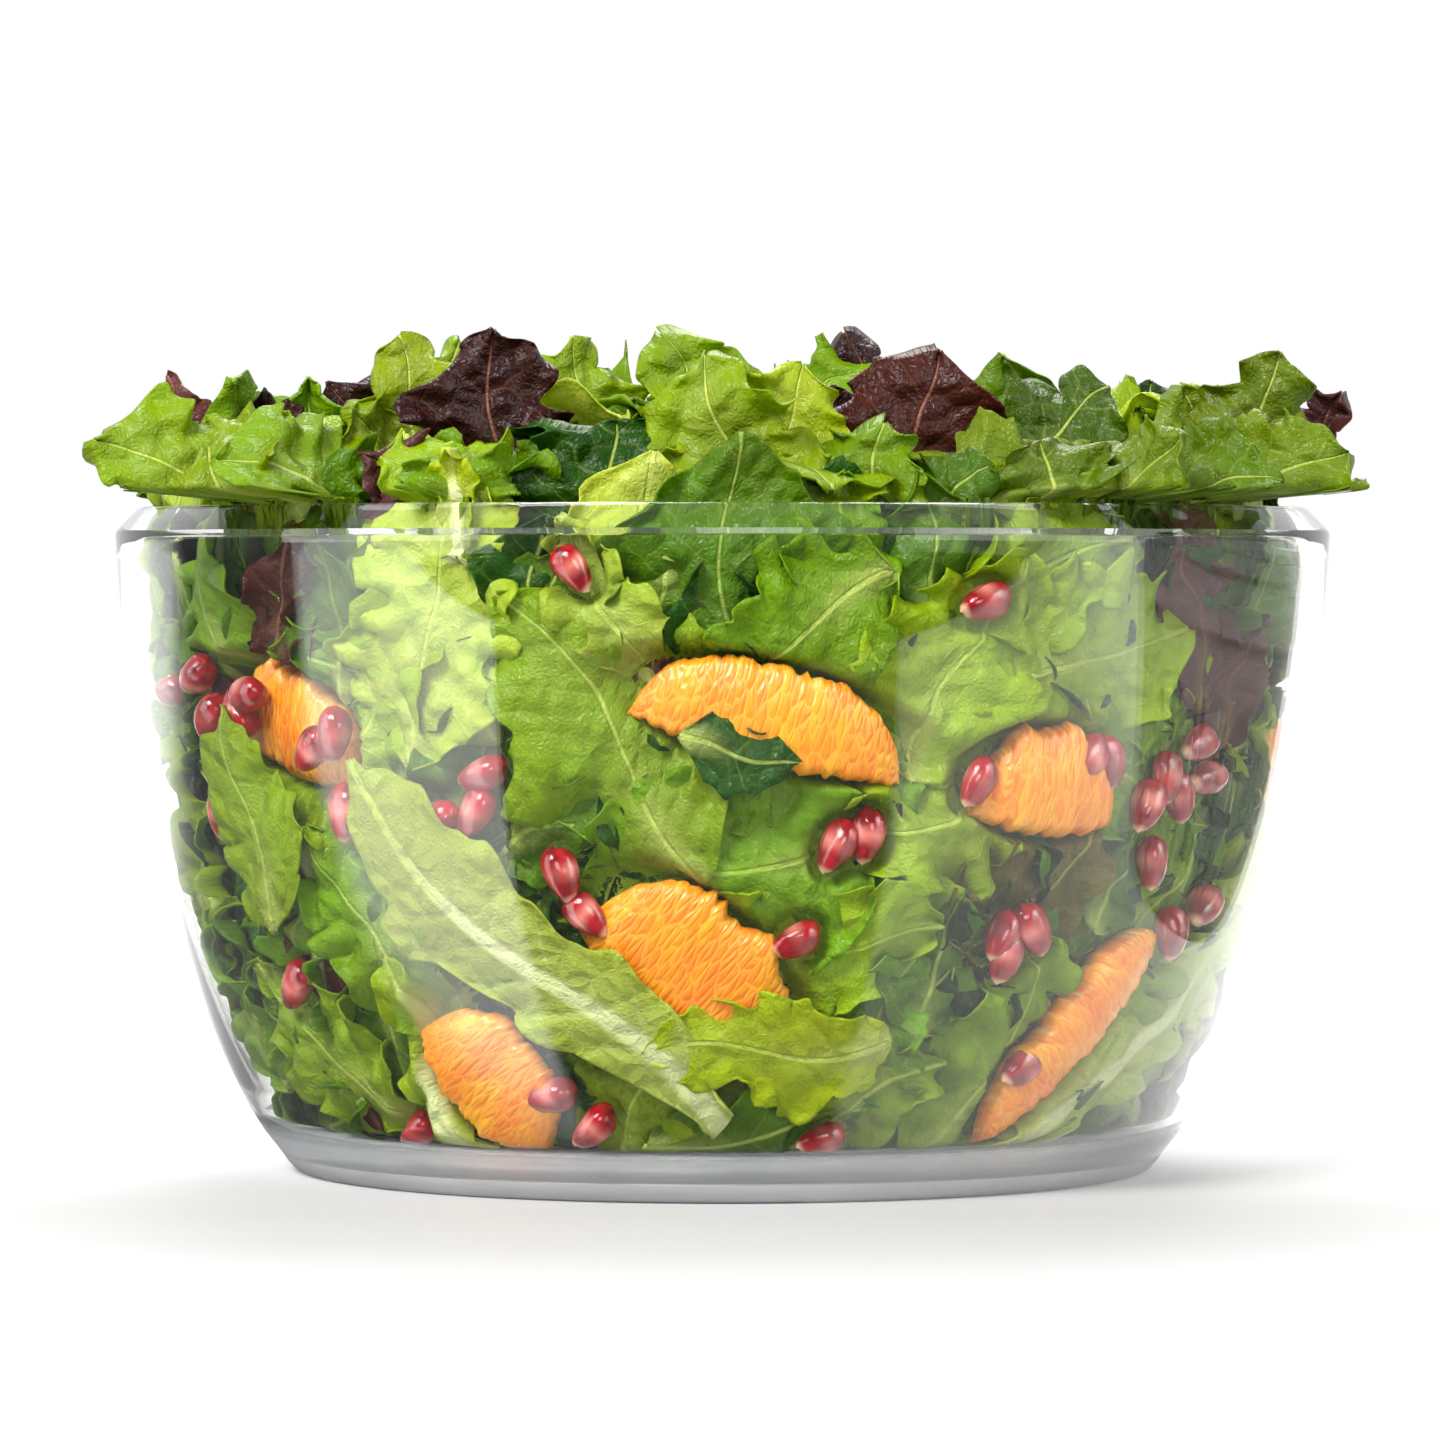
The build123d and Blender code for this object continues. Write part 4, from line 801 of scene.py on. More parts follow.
# ---- leaves above the rim: stem and tip in the view, depth of stem and tip, width, kind, colour, which way it faces, curl
TOP = [
    ((262, 512), (108, 436), -88, -100, 34, "lobed", "light", (-0.3, -1, 0.5), 0.3),
    ((240, 515), (190, 418), -100, -92, 24, "frill", "light", (-0.2, -1, 0.2), 0.5),
    ((205, 455), (170, 382), -40, -46, 12, "lobed", "purple", (0.2, -1, 0.2), 0.2),
    ((275, 470), (222, 380), -50, -58, 20, "lobed", "bright", (0.3, -1, 0.4), -0.5),
    ((300, 440), (240, 418), -60, -62, 13, "oval", "wine", (0, -1, 0.6), 0.2),
    ((350, 500), (240, 440), -96, -108, 34, "frill", "bright", (0.2, -1, 0.9), 0.5),
    ((322, 470), (308, 382), -52, -56, 16, "lobed", "bright", (0, -1, 0.2), 0.3),
    ((405, 455), (338, 384), -40, -48, 18, "lobed", "wine", (0.2, -1, 0.2), 0.3),
    ((400, 460), (345, 412), -60, -66, 16, "frill", "light", (0.1, -1, 0.5), -0.5),
    ((425, 465), (398, 340), -60, -62, 27, "lobed", "yellow", (0, -1, 0.1), 0.2),
    ((432, 430), (458, 346), -58, -60, 13, "lobed", "light", (0.2, -1, 0.1), 0.3),
    ((425, 505), (370, 455), -100, -104, 20, "lobed", "purple", (0, -1, 0.6), 0.3),
    ((500, 508), (402, 442), -104, -110, 24, "frill", "light", (0.2, -1, 0.8), 0.6),
    ((500, 490), (490, 333), -82, -86, 33, "lobed", "wine", (0.1, -1, 0.05), 0.15),
    ((600, 460), (580, 346), -50, -58, 24, "lobed", "light", (0.2, -1, 0.3), 0.4),
    ((620, 520), (610, 420), -104, -96, 42, "frill", "dark", (-0.1, -1, 0.3), 0.2),
    ((540, 505), (555, 440), -96, -90, 24, "lobed", "mid", (0, -1, 0.3), 0.3),
    ((700, 440), (676, 344), -52, -62, 27, "lobed", "light", (0.1, -1, 0.4), 0.4),
    ((752, 512), (704, 366), -108, -114, 30, "frill", "light", (-0.25, -1, 0.3), 0.35),
    ((748, 505), (808, 376), -104, -108, 32, "frill", "yellow", (0.3, -1, 0.3), 0.4),
    ((690, 500), (705, 425), -90, -84, 16, "oval", "pale", (0, -1, 0.2), 0.1),
    ((790, 400), (868, 362), -50, -56, 16, "frill", "bright", (0, -1, 0.9), 0.3),
    ((872, 440), (852, 338), -50, -54, 18, "lobed", "wine", (0, -1, 0.1), 0.3),
    ((900, 495), (938, 360), -92, -98, 34, "oval", "red", (0.2, -1, 0.2), 0.5),
    ((840, 450), (830, 390), -70, -74, 22, "oval", "wine", (-0.2, -1, 0.2), 0.2),
    ((975, 500), (968, 420), -88, -80, 18, "lobed", "wine", (0.2, -1, 0.2), 0.3),
    ((870, 505), (880, 432), -112, -116, 20, "frill", "bright", (0, -1, 0.5), 0.6),
    ((930, 510), (980, 462), -110, -114, 18, "frill", "mid", (0, -1, 0.7), 0.4),
    ((1020, 460), (1005, 365), -10, -20, 20, "oval", "bright", (0, -1, 0.3), 0.4),
    ((1010, 465), (1110, 385), -70, -66, 30, "lobed", "mid", (0, -1, 0.5), 0.2),
    ((1150, 455), (1150, 378), -30, -24, 20, "lobed", "dark", (0, -1, 0.2), 0.2),
    ((965, 505), (1100, 458), -106, -112, 26, "frill", "light", (0, -1, 0.9), 0.3),
    ((1110, 500), (1190, 440), -104, -110, 22, "frill", "light", (0.1, -1, 0.9), -0.4),
    ((1220, 470), (1188, 388), -50, -54, 18, "oval", "light", (0.2, -1, 0.2), 0.3),
    ((1240, 470), (1280, 360), -56, -62, 24, "lobed", "light", (0.1, -1, 0.2), 0.3),
    ((1140, 505), (1270, 462), -98, -104, 28, "frill", "bright", (0, -1, 0.9), 0.4),
    ((1235, 508), (1336, 446), -86, -92, 26, "frill", "light", (0.3, -1, 0.5), 0.4),
    ((1300, 450), (1340, 395), -30, -34, 12, "lobed", "purple", (0, -1, 0.2), 0.2),
    ((640, 470), (640, 400), -60, -60, 26, "frill", "mid", (0, -1, 0.3), 0.2),
    ((1060, 505), (1040, 440), -112, -108, 26, "frill", "bright", (0, -1, 0.6), 0.3),
    ((800, 505), (810, 440), -116, -112, 26, "frill", "light", (0, -1, 0.5), 0.3),
    ((190, 505), (150, 470), -74, -96, 24, "frill", "bright", (-0.4, -1, 0.7), 0.5),
    ((1300, 505), (1338, 480), -66, -82, 18, "frill", "light", (0.4, -1, 0.6), 0.5),
    ((460, 505), (455, 450), -112, -108, 22, "frill", "bright", (0, -1, 0.5), 0.3),
    ((1180, 505), (1210, 455), -92, -88, 24, "frill", "mid", (0, -1, 0.5), 0.3),
    ((320, 505), (310, 455), -100, -92, 22, "frill", "mid", (0, -1, 0.5), 0.3),
]
for i, (stem, tip, ys, yt, width, kind, colour, face, curl) in enumerate(TOP):
    a, b = at(*stem, ys), at(*tip, yt)
    base = a - (b - a) * 0.12
    length = float(np.linalg.norm(b - base)) * (1 + 0.12 * abs(curl))
    free_leaf("leaves_rim", base, b - base, face, length, width * 1.25, kind, colour, 5001 + i * 11, curl=-curl, cup=0.25, ruffle=0.9)

# ---- the rest of the heap: leaning leaves round the edge, and leaves lying over each other across the top
k = 0
for radius, count, z in [(112, 22, 148), (94, 18, 152)]:
    for j in range(count):
        ang = 2 * math.pi * (j + rnd.uniform(-0.3, 0.3)) / count + radius
        o = np.array([math.sin(ang), -math.cos(ang), 0.0])
        front = o[1] < -0.55
        if front and radius > 100:
            continue
        lean = rnd.uniform(0.45, 1.2)
        side = np.array([math.cos(ang), math.sin(ang), 0.0]) * rnd.uniform(-0.7, 0.7)
        tip = o * math.sin(lean) + np.array([0, 0, math.cos(lean)]) + side
        length = rnd.uniform(36, 50)
        colour = ["light", "bright", "mid", "light", "red", "yellow", "dark", "wine", "bright"][rnd.randint(9)]
        kind = ["frill", "lobed", "frill", "oval"][rnd.randint(4)]
        top_z = (tip / np.linalg.norm(tip))[2] * length + z
        if top_z > 174:
            length *= (174 - z) / (top_z - z)
        free_leaf("leaves_heap", o * (radius - 10) + np.array([0, 0, z - 8]), tip, np.array([0, 0, 1.0]) - o * 0.4 + side * 0.3, length, rnd.uniform(34, 46),
                  kind, colour, 7000 + k, curl=rnd.uniform(-0.9, -0.1), cup=0.2, ruffle=0.9, nu=34, nv=22)
        k += 1
for j in range(92):
    rr = 106 * math.sqrt((j + 0.5) / 92)
    ang = j * 2.39996
    o = np.array([math.sin(ang), -math.cos(ang), 0.0])
    turn = ang + rnd.uniform(-1.9, 1.9)
    t = np.array([math.sin(turn), -math.cos(turn), math.tan(rnd.uniform(0.0, 0.3))])
    if o[1] * rr < -62:
        continue
    face = np.array([rnd.uniform(-0.35, 0.35), rnd.uniform(-0.35, 0.35), 1.0])
    length = rnd.uniform(42, 60)
    base = o * rr - t / np.linalg.norm(t) * length * 0.45
    base[2] = 151.0 + 6 * (1 - (rr / 106) ** 2) + rnd.uniform(-3, 3)
    colour = ["light", "bright", "mid", "light", "red", "yellow", "dark", "purple", "bright", "mid", "pale"][rnd.randint(11)]
    kind = ["frill", "lobed", "frill", "oval", "frill"][rnd.randint(5)]
    free_leaf("leaves_top", base, t, face, length, rnd.uniform(36, 50), kind, colour, 8000 + j, curl=rnd.uniform(-0.6, 0.1), cup=rnd.uniform(-0.1, 0.25),
              ruffle=rnd.uniform(0.9, 1.25), nu=36, nv=24)
leaves = salad.build()
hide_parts("salad_greens")
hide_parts("rim_leaves")

# ---- dark leafy mass behind them, coloured near-black as painted shade for the salad's shaded depths
prof = [(0.5, 17), (80, 17), (92, 24)] + [(float(inner_r(z)) - 17, z) for z in np.linspace(32, 138, 14)] + [(104, 143), (96, 147), (70, 150), (36, 151), (0.5, 151)]
CORE = shaded_core_material()
core = lathe("salad_core", prof, "bowl_set", CORE, segs=120)
co = np.zeros(len(core.data.vertices) * 3, np.float32)
core.data.vertices.foreach_get("co", co)
co = co.reshape(-1, 3)
w = (np.sin(co[:, 0] * 180 + 3 * np.sin(co[:, 2] * 90)) * np.sin(co[:, 1] * 160 + 1.3) + 0.6 * np.sin(co[:, 2] * 260 + co[:, 0] * 120))
co[:, :2] *= (1 + 0.022 * w)[:, None]
co[:, 2] += 0.0012 * w * (co[:, 2] > 0.03)
core.data.vertices.foreach_set("co", co.ravel())
core.data.update()

# ------------------------------------------------------------------ orange
def orange_segment(ang, z0, tilt, length, width, depth, seed, nu=56, nv=26):
    """A peeled segment: half-moon, thick at its rind side, thin at its heart."""
    r = np.random.RandomState(seed)
    u = np.linspace(-1, 1, nu)
    v = np.linspace(0, 1, nv)
    U, V = np.meshgrid(u, v, indexing="ij")
    arc = np.clip(1 - np.abs(u) ** 3.2, 0, 1) ** 0.6
    hi = arc * width * (1 + 0.1 * fbm(u * 1.6, seed, 3) + 0.035 * fbm(u * 8, seed + 9, 2)) + 0.4
    lo = -0.16 * width * (1 - np.abs(u) ** 2) * (1 + 0.5 * fbm(u * 2.4, seed + 1, 3)) + 0.8 * fbm(u * 7, seed + 2, 3)
    Yl = lo[:, None] + (hi - lo)[:, None] * V - width * 0.42
    Xl = U * length / 2 * (1 - 0.03 * V)
    th = 4.6 * np.clip(1 - np.abs(U) ** 3.0, 0.02, 1) ** 0.5 * (0.30 + 0.70 * np.sin(np.pi * (0.12 + 0.80 * V)) ** 0.8)
    edge = np.minimum(V, 1 - V) * 14
    th = th * np.clip(edge, 0, 1) ** 0.45 + 0.12
    bumps = 0.09 * np.sin(Xl * 3.1 + 0.8 * np.sin(Yl * 0.9) + seed) * np.clip(edge, 0, 1) + 0.05 * r.randn(nu, nv) * np.clip(edge, 0, 1)
    bow = 2.4 * (U ** 2) + 0.8 * fbm(U.ravel(), seed + 4, 1).reshape(U.shape)
    a = math.radians(tilt)

    def place(h):
        sx = Xl * math.cos(a) - Yl * math.sin(a)
        sy = Xl * math.sin(a) + Yl * math.cos(a)
        z = np.clip(z0 + sy, 10.0, 143)
        rin = inner_r(z)
        rad = rin - depth - h - bow * 0.6
        phi = ang + sx / rin
        return np.stack([rad * np.sin(phi), -rad * np.cos(phi), z], -1)

    front = place(4.6 - th - bumps)
    back = place(5.4 + th)
    verts = np.concatenate([front.reshape(-1, 3), back.reshape(-1, 3)])
    idx = np.arange(nu * nv).reshape(nu, nv)
    A, B, C, D = idx[:-1, :-1], idx[:-1, 1:], idx[1:, 1:], idx[1:, :-1]
    off = nu * nv
    f1 = np.stack([A, D, C, B], -1).reshape(-1, 4)
    f2 = np.stack([A, B, C, D], -1).reshape(-1, 4) + off
    ring = np.concatenate([idx[0, :-1], idx[:-1, -1], idx[-1, :0:-1], idx[:0:-1, 0]])
    nxt = np.roll(ring, -1)
    f3 = np.stack([ring, nxt, nxt + off, ring + off], -1)
    cell = np.stack([Xl + 3.0 * np.sin(U * 1.3), (1 - V) * width, np.full_like(U, seed * 3.7)], -1).reshape(-1, 3)
    return verts, np.concatenate([f1, f2, f3]), np.concatenate([cell, cell])


ov, of_, oc, n0 = [], [], [], 0
for i, item in enumerate(ORANGES):
    if isinstance(item[0], tuple):
        ang, z = on_wall(*item[0])
        tilt, length, width, depth = item[1:]
    else:
        ang, z = math.radians(item[0]), item[1]
        tilt, length, width, depth = BACK_TILTS[i - 7], 46, 20, 3.0
    v, f, c = orange_segment(ang, z, tilt, length, width, depth, 31 + i * 5)
    ov.append(v); of_.append(f + n0); oc.append(c)
    n0 += len(v)
orange = new_object("orange_pieces", np.concatenate(ov), np.concatenate(of_), "bowl_set", mats=[orange_material()],
                    attrs={"cell": ("FLOAT_VECTOR", np.concatenate(oc))})
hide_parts("orange_segments")

# ------------------------------------------------------------------ pomegranate
av_, af, ac, n0 = [], [], [], 0


def aril(ang, z0, tilt, depth, seed, size, nu=22, nv=20):
    r = np.random.RandomState(seed)
    t = np.linspace(-1, 1, nu)
    ph = np.linspace(0, 2 * np.pi, nv, endpoint=False)
    T, A = np.meshgrid(t, ph, indexing="ij")
    L, R = 5.7 * size, 4.0 * size
    prof = np.sqrt(np.clip(1 - np.abs(T) ** 2.35, 0, 1)) * (0.88 + 0.18 * T)
    facet = 1 + 0.05 * np.cos(3 * A + r.uniform(0, 6)) + 0.035 * np.cos(2 * A + 2.0 * T + r.uniform(0, 6)) + 0.02 * np.cos(5 * A + 3 * T)
    rad = R * prof * facet
    x = L * T * (1.0 + 0.05 * np.cos(A)) + 0.0
    y, h = rad * np.cos(A), rad * np.sin(A) * 0.93
    a = math.radians(tilt)
    sx = x * math.cos(a) - y * math.sin(a)
    sy = x * math.sin(a) + y * math.cos(a)
    z = z0 + sy
    rin = float(inner_r(np.array(max(z0, 9.5))))
    rad2 = np.minimum(rin - depth - R - h, inner_r(np.clip(z, 9, 141)) - 0.7)
    phi = ang + sx / rin
    v = np.stack([rad2 * np.sin(phi), -rad2 * np.cos(phi), np.maximum(z, 8.9)], -1).reshape(-1, 3)
    idx = np.arange(nu * nv).reshape(nu, nv)
    nx = np.roll(idx, -1, axis=1)
    f = np.stack([idx[:-1], nx[:-1], nx[1:], idx[1:]], -1).reshape(-1, 4)
    c = np.stack([T, A, np.full_like(T, r.uniform(0, 9))], -1).reshape(-1, 3)
    return v, f, c


for i, item in enumerate(ARILS + BACK_ARILS):
    if len(item) == 4:
        ang, z = on_wall(item[0], item[1])
        tilt, depth = item[2], item[3]
    else:
        ang, z, tilt, depth = math.radians(item[0]), item[1], rnd.uniform(0, 180), 1.5
    z = max(z, 14.0)
    v, f, c = aril(ang, z, tilt, depth - 0.6, 61 + i, 0.98 + 0.12 * ((i * 0.618) % 1))
    av_.append(v); af.append(f + n0); ac.append(c)
    n0 += len(v)
arils = new_object("arils", np.concatenate(av_), np.concatenate(af), "bowl_set", mats=[aril_material()], attrs={"cell": ("FLOAT_VECTOR", np.concatenate(ac))})
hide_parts("pomegranate_arils")

# ------------------------------------------------------------------ bowl and its ring
inner_side = [tuple(p) for p in INNER[::-1] if 18 < p[1] < 138.5]
round_floor = [(102.4, 15.0), (101.0, 12.4), (99.0, 10.2), (96.4, 8.8), (93.0, 8.2), (60, 8.2), (30, 8.2), (9.4, 8.2), (9.2, 8.6), (8.2, 10.2), (3.4, 23.0),
               (2.9, 24.3), (1.9, 25.4), (0.9, 25.9), (0.0, 26.0)]
bowl_profile = ([(0.0, 4.0), (60, 4.0), (87.9, 4.0), (87.9, 5.8), (90.1, 5.8), (90.1, 4.0)] + [tuple(p) for p in OUTER[:-1]] +
                [(134.12, 139.8), (134.0, 140.7), (133.5, 141.3), (129.4, 145.4), (129.0, 145.75), (128.4, 145.95), (127.0, 146.0), (126.4, 145.8), (126.05, 145.3),
                 (126.0, 144.6), (131.0, 139.6), (131.25, 139.2)] + inner_side + round_floor)
bowl = lathe("bowl_wall", bowl_profile, "bowl_set", CLEAR, segs=320, closed=False, sharp=30)
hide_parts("bowl")

RUB = plastic("foot_ring", srgb(172, 172, 174), srgb(186, 186, 188), rough=0.55, bump=0.2)
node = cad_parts


def give(name, mat, smooth=35):
    o = node[name]
    o.data.materials.clear()
    o.data.materials.append(mat)
    return o


give("foot_ring", RUB)
WHITE = plastic("basket_white", srgb(182, 183, 181), srgb(191, 191, 189), rough=0.38, bump=0.1)
give("basket", WHITE)
give("drive_disc", plastic("disc_white", srgb(178, 179, 177), srgb(187, 187, 185), rough=0.4, bump=0.1))
give("lid_shell", clear_material("lid_clear", rough=0.004))
give("pump_housing", plastic("housing_white", srgb(184, 184, 182), srgb(193, 193, 191), rough=0.22, bump=0.04, coat=0.3))
give("bearing_bush", plastic("bush", srgb(200, 196, 184), srgb(208, 205, 195), rough=0.4))
give("retaining_ring", plastic("ring_dark", srgb(70, 70, 72), srgb(84, 84, 86), rough=0.45))
give("drive_nut", plastic("nut", srgb(196, 196, 190), srgb(204, 204, 200), rough=0.35))
give("pump_knob", plastic("knob_white", srgb(184, 184, 182), srgb(193, 193, 191), rough=0.2, bump=0.04, coat=0.35))
give("knob_grip", plastic("grip_grey", srgb(104, 107, 109), srgb(118, 121, 123), rough=0.62, bump=0.3))
give("brake_button", plastic("button_grey", srgb(108, 111, 113), srgb(120, 123, 125), rough=0.3, coat=0.2))
give("lock_slider", plastic("slider_grey", srgb(108, 111, 113), srgb(120, 123, 125), rough=0.3, coat=0.2))
give("brake_pad", plastic("pad_black", srgb(38, 38, 38), srgb(50, 50, 50), rough=0.75, bump=0.4))
for name in ("housing_screws", "stem_screw", "one_way_clutch"):
    give(name, steel("steel_" + name, 0.55, 0.3))
give("drive_stem", steel("stem_steel", 0.66, 0.16))


def coil(name, mat, z0, z1, r0, r1, wire, turns, around=312.0, sides=12, per=44):
    """Round-wire spring with its end turns laid flat, both ends closed."""
    n = int(turns * per) + 1
    t = np.linspace(0, turns, n)
    rise = np.clip((t - 0.7) / (turns - 1.4), 0, 1)
    a = 2 * np.pi * t
    r = r0 + (r1 - r0) * t / turns
    c = np.stack([around + r * np.cos(a), r * np.sin(a), z0 + wire + (z1 - z0 - 2 * wire) * rise], 1)
    tan = np.gradient(c, axis=0)
    tan /= np.linalg.norm(tan, axis=1)[:, None]
    out = np.stack([np.cos(a), np.sin(a), np.zeros(n)], 1)
    up = np.cross(tan, out)
    q = np.linspace(0, 2 * np.pi, sides, endpoint=False)
    v = c[:, None] + wire * (np.cos(q)[None, :, None] * out[:, None] + np.sin(q)[None, :, None] * up[:, None])
    idx = np.arange(n * sides).reshape(n, sides)
    nx = np.roll(idx, -1, axis=1)
    f = np.stack([idx[:-1], nx[:-1], nx[1:], idx[1:]], -1).reshape(-1, 4)
    v = np.concatenate([v.reshape(-1, 3), c[:1], c[-1:]])
    e0, e1 = n * sides, n * sides + 1
    caps = [(idx[0, k], e0, e0, idx[0, (k + 1) % sides]) for k in range(sides)] + [(idx[-1, k], idx[-1, (k + 1) % sides], e1, e1) for k in range(sides)]
    tri = [(a_, b_, d_) if b_ == c_ else (a_, b_, c_) for a_, b_, c_, d_ in caps]
    me = bpy.data.meshes.new(name)
    me.from_pydata([tuple(p * MM) for p in v], [], [tuple(int(i) for i in q_) for q_ in f] + [tuple(int(i) for i in q_) for q_ in tri])
    me.materials.append(mat)
    o = bpy.data.objects.new(name, me)
    bpy.context.scene.collection.objects.link(o)
    bm_clean(o, 60)
    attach(o, "lid")
    return o


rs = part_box("return_spring")
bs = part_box("brake_spring")
spring = coil("return_coil", steel("return_spring_steel", 0.62, 0.22), rs[0][2] / MM, rs[1][2] / MM, 26.0, 26.0, 0.8, 8.0)
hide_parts("return_spring")
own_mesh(spring)
spring = coil("brake_coil", steel("brake_spring_steel", 0.6, 0.25), bs[0][2] / MM, bs[1][2] / MM, 11.8, 9.9, 0.4, 2.6,
              around=(bs[0][0] + bs[1][0]) / 2 / MM)
spring_dy = (bs[0][1] + bs[1][1]) / 2
for vtx in spring.data.vertices:
    vtx.co.y += spring_dy
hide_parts("brake_spring")
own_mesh(spring)

# ------------------------------------------------------------------ floor, light, camera
n = N("floor")
P = n.coords()
g = n.noise(P, 3, 2)
p = n.principled(Base_Color=n.mix(g, srgb(176, 176, 176), srgb(180, 180, 180)), Roughness=0.6)
p.inputs["Specular IOR Level"].default_value = 0.1
# the floor glows to the eye and through the plastic: not near the bowl, rising to full white 2.2 m out; painted light:
# a further glow behind the bowl's front (y above -0.13 m) lightens the shadows cast there
glow = n.node("ShaderNodeEmission")
glow.inputs[0].default_value = (1, 1, 1, 1)
dist = n.node("ShaderNodeVectorMath", operation="LENGTH")
n.put(dist.inputs[0], P)
lpn = n.node("ShaderNodeLightPath")
away = n.node("ShaderNodeSeparateXYZ")
n.put(away.inputs[0], P)
n.put(glow.inputs[1], n.math("MULTIPLY", n.math("SUBTRACT", 1.0, lpn.outputs["Is Diffuse Ray"]), n.math("ADD", n.step(dist.outputs["Value"], 0.12, 2.2, 0.0, 1.0), n.step(away.outputs[1], -0.13, 0.06, 0.0, 0.42))))
addn = n.node("ShaderNodeAddShader")
n.put(addn.inputs[0], p.outputs[0])
n.put(addn.inputs[1], glow.outputs[0])
# painted reflection: glossy rays see the floor dark grey, with glowing patches where a level view glances off the wall
# down onto it, which paint the bright bands on the left and right of the clear wall
dim = n.node("ShaderNodeBsdfDiffuse")
dim.inputs[0].default_value = (0.09, 0.09, 0.09, 1)


def beyond(origin, normal, soft):
    """1 on the side of a line on the floor that normal points to (metres)."""
    v = n.node("ShaderNodeVectorMath", operation="DOT_PRODUCT")
    d = n.node("ShaderNodeVectorMath", operation="SUBTRACT")
    n.put(d.inputs[0], P)
    d.inputs[1].default_value = (origin[0], origin[1], 0)
    n.put(v.inputs[0], d.outputs[0])
    v.inputs[1].default_value = (normal[0], normal[1], 0)
    return n.step(v.outputs["Value"], 0.0, soft)


def ray(phi):
    """Where a level view glances off the wall at phi degrees round, and where it goes."""
    f = math.radians(phi)
    return (0.134 * math.sin(f), -0.134 * math.cos(f)), (math.sin(2 * f), -math.cos(2 * f))


(o0, d0), (o1, d1) = ray(-21.8), ray(-44.0)
left = n.math("MULTIPLY", beyond(o0, (d0[1], -d0[0]), 0.004), beyond(o1, (-d1[1], d1[0]), 0.03))
(o2, d2) = ray(16.6)
(o3, d3) = ray(30.0)
right = n.math("ADD", n.math("MULTIPLY", beyond(o2, (-d2[1], d2[0]), 0.004), 0.9), n.math("MULTIPLY", beyond(o3, (-d3[1], d3[0]), 0.35), 1.5))
card = n.node("ShaderNodeEmission")
card.inputs[0].default_value = (1, 1, 1, 1)
n.put(card.inputs[1], n.math("ADD", n.math("MULTIPLY", left, 2.5), right))
seen = n.node("ShaderNodeAddShader")
n.put(seen.inputs[0], dim.outputs[0])
n.put(seen.inputs[1], card.outputs[0])
pick = n.node("ShaderNodeMixShader")
n.put(pick.inputs[0], lpn.outputs["Is Glossy Ray"])
n.put(pick.inputs[1], addn.outputs[0])
n.put(pick.inputs[2], seen.outputs[0])
floor_mat = n.done(pick.outputs[0])
me = bpy.data.meshes.new("floor")
me.from_pydata([(-9, -0.66, 0), (9, -0.66, 0), (9, 9, 0), (-9, 9, 0)], [], [(0, 1, 2, 3)])
me.materials.append(floor_mat)
floor = bpy.data.objects.new("floor", me)
bpy.context.scene.collection.objects.link(floor)

# white all round to the eye and through the plastic; light on surfaces comes mostly from above
world = bpy.data.worlds.new("studio")
world.use_nodes = True
wt = world.node_tree
bg = wt.nodes["Background"]
lp = wt.nodes.new("ShaderNodeLightPath")
tc = wt.nodes.new("ShaderNodeTexCoord")
sx = wt.nodes.new("ShaderNodeSeparateXYZ")
wt.links.new(tc.outputs["Generated"], sx.inputs[0])


def ramp(src, values):
    m = wt.nodes.new("ShaderNodeMapRange")
    wt.links.new(src, m.inputs["Value"])
    for key, value in zip(("From Min", "From Max", "To Min", "To Max"), values):
        m.inputs[key].default_value = value
    return m.outputs[0]


def choose(fac, a, b):
    m = wt.nodes.new("ShaderNodeMix")
    m.data_type = "FLOAT"
    wt.links.new(fac, m.inputs[0])
    for k, v in ((2, a), (3, b)):
        if isinstance(v, float):
            m.inputs[k].default_value = v
        else:
            wt.links.new(v, m.inputs[k])
    return m.outputs[0]


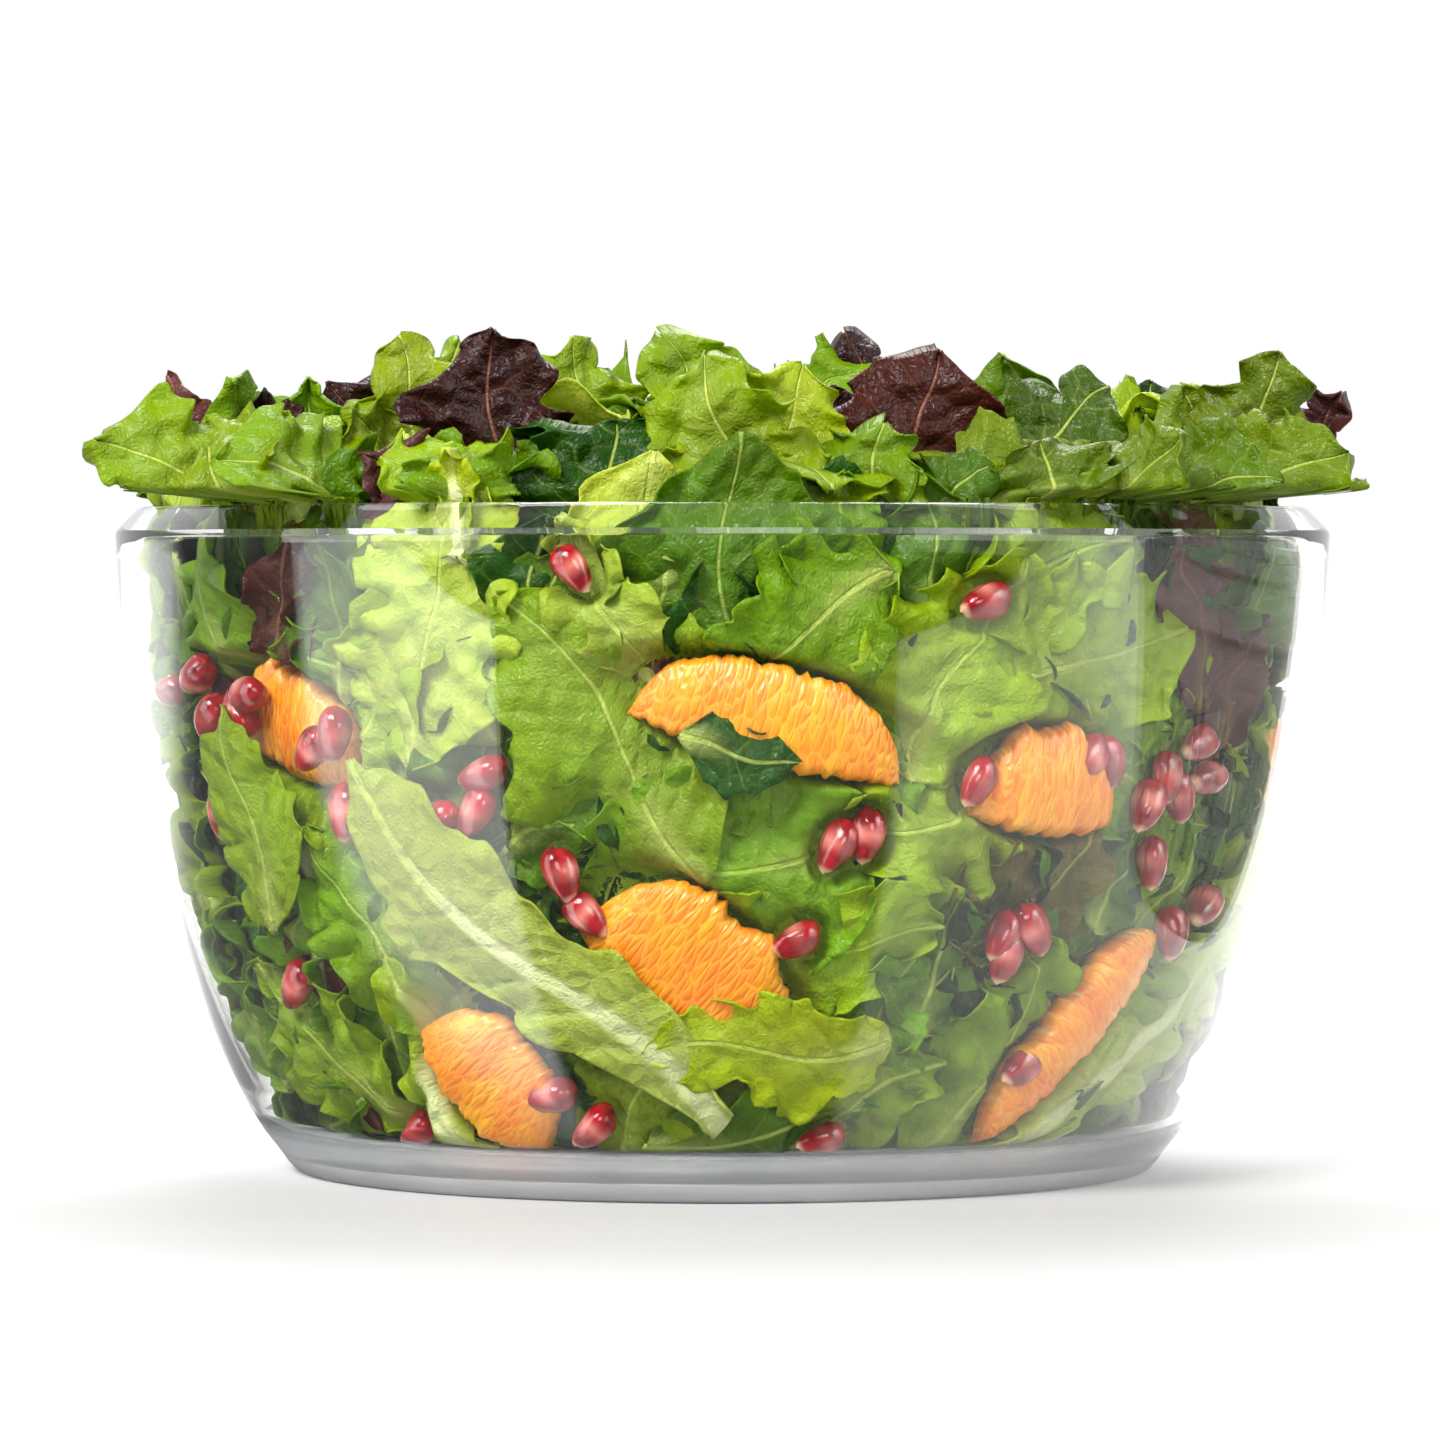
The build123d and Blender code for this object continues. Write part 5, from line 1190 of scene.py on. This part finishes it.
glossy = ramp(sx.outputs[1], (-0.25, 0.3, 0.04, 1.0))
value = choose(lp.outputs["Is Diffuse Ray"], glossy, ramp(sx.outputs[2], (-0.1, 0.8, 0.14, 0.85)))
bg.inputs[0].default_value = (1, 1, 1, 1)
wt.links.new(choose(lp.outputs["Is Camera Ray"], value, 1.0), bg.inputs[1])
bpy.context.scene.world = world


def area(name, loc, target, size, power, size_y=None, spread=180):
    l = bpy.data.lights.new(name, "AREA")
    l.shape = "RECTANGLE"
    l.size = size
    l.size_y = size_y or size
    l.energy = power
    l.spread = math.radians(spread)
    o = bpy.data.objects.new(name, l)
    o.location = loc
    o.rotation_euler = (Vector(target) - Vector(loc)).to_track_quat("-Z", "Y").to_euler()
    bpy.context.scene.collection.objects.link(o)
    return o


def softbox(name, az0, az1, dist, height, base, radiance):
    """Tall box to one side; az from the view axis, negative is left."""
    a0, a1 = math.radians(az0), math.radians(az1)
    p0 = Vector((dist * math.sin(a0), -dist * math.cos(a0), 0))
    p1 = Vector((dist * math.sin(a1), -dist * math.cos(a1), 0))
    c = (p0 + p1) / 2 + Vector((0, 0, base + height / 2))
    w = (p1 - p0).length
    return area(name, c, (0, 0, c.z), w, radiance * math.pi * w * height, height)


for box in (softbox("box_left", -43.5, -86, 1.5, 1.5, 0.02, 4.0), softbox("box_right", 34, 92, 1.6, 1.6, 0.02, 3.0)):
    box.visible_diffuse = False  # seen only as the soft bands on the clear wall
area("key", (-0.75, -1.15, 1.25), (0, 0, 0.1), 0.7, 47)
area("fill", (1.2, -0.9, 0.9), (0, 0, 0.1), 0.8, 8)
area("front", (0.15, -1.8, 0.5), (0, 0, 0.06), 0.6, 6)
area("back", (0.1, 1.1, 1.5), (0, 0, 0.1), 1.0, 30)

cam = bpy.data.cameras.new("camera")
cam.sensor_width = 36
cam.lens = F_PX / 1445 * 36
co_ = bpy.data.objects.new("camera", cam)
co_.location = (0, -D_CAM * MM, Z_CAM * MM)
co_.rotation_euler = (Vector((0, 0, 0.0985)) - co_.location).to_track_quat("-Z", "Y").to_euler()
bpy.context.scene.collection.objects.link(co_)
bpy.context.scene.camera = co_
bpy.context.scene.view_settings.view_transform = "Standard"
bpy.context.scene.view_settings.look = "None"
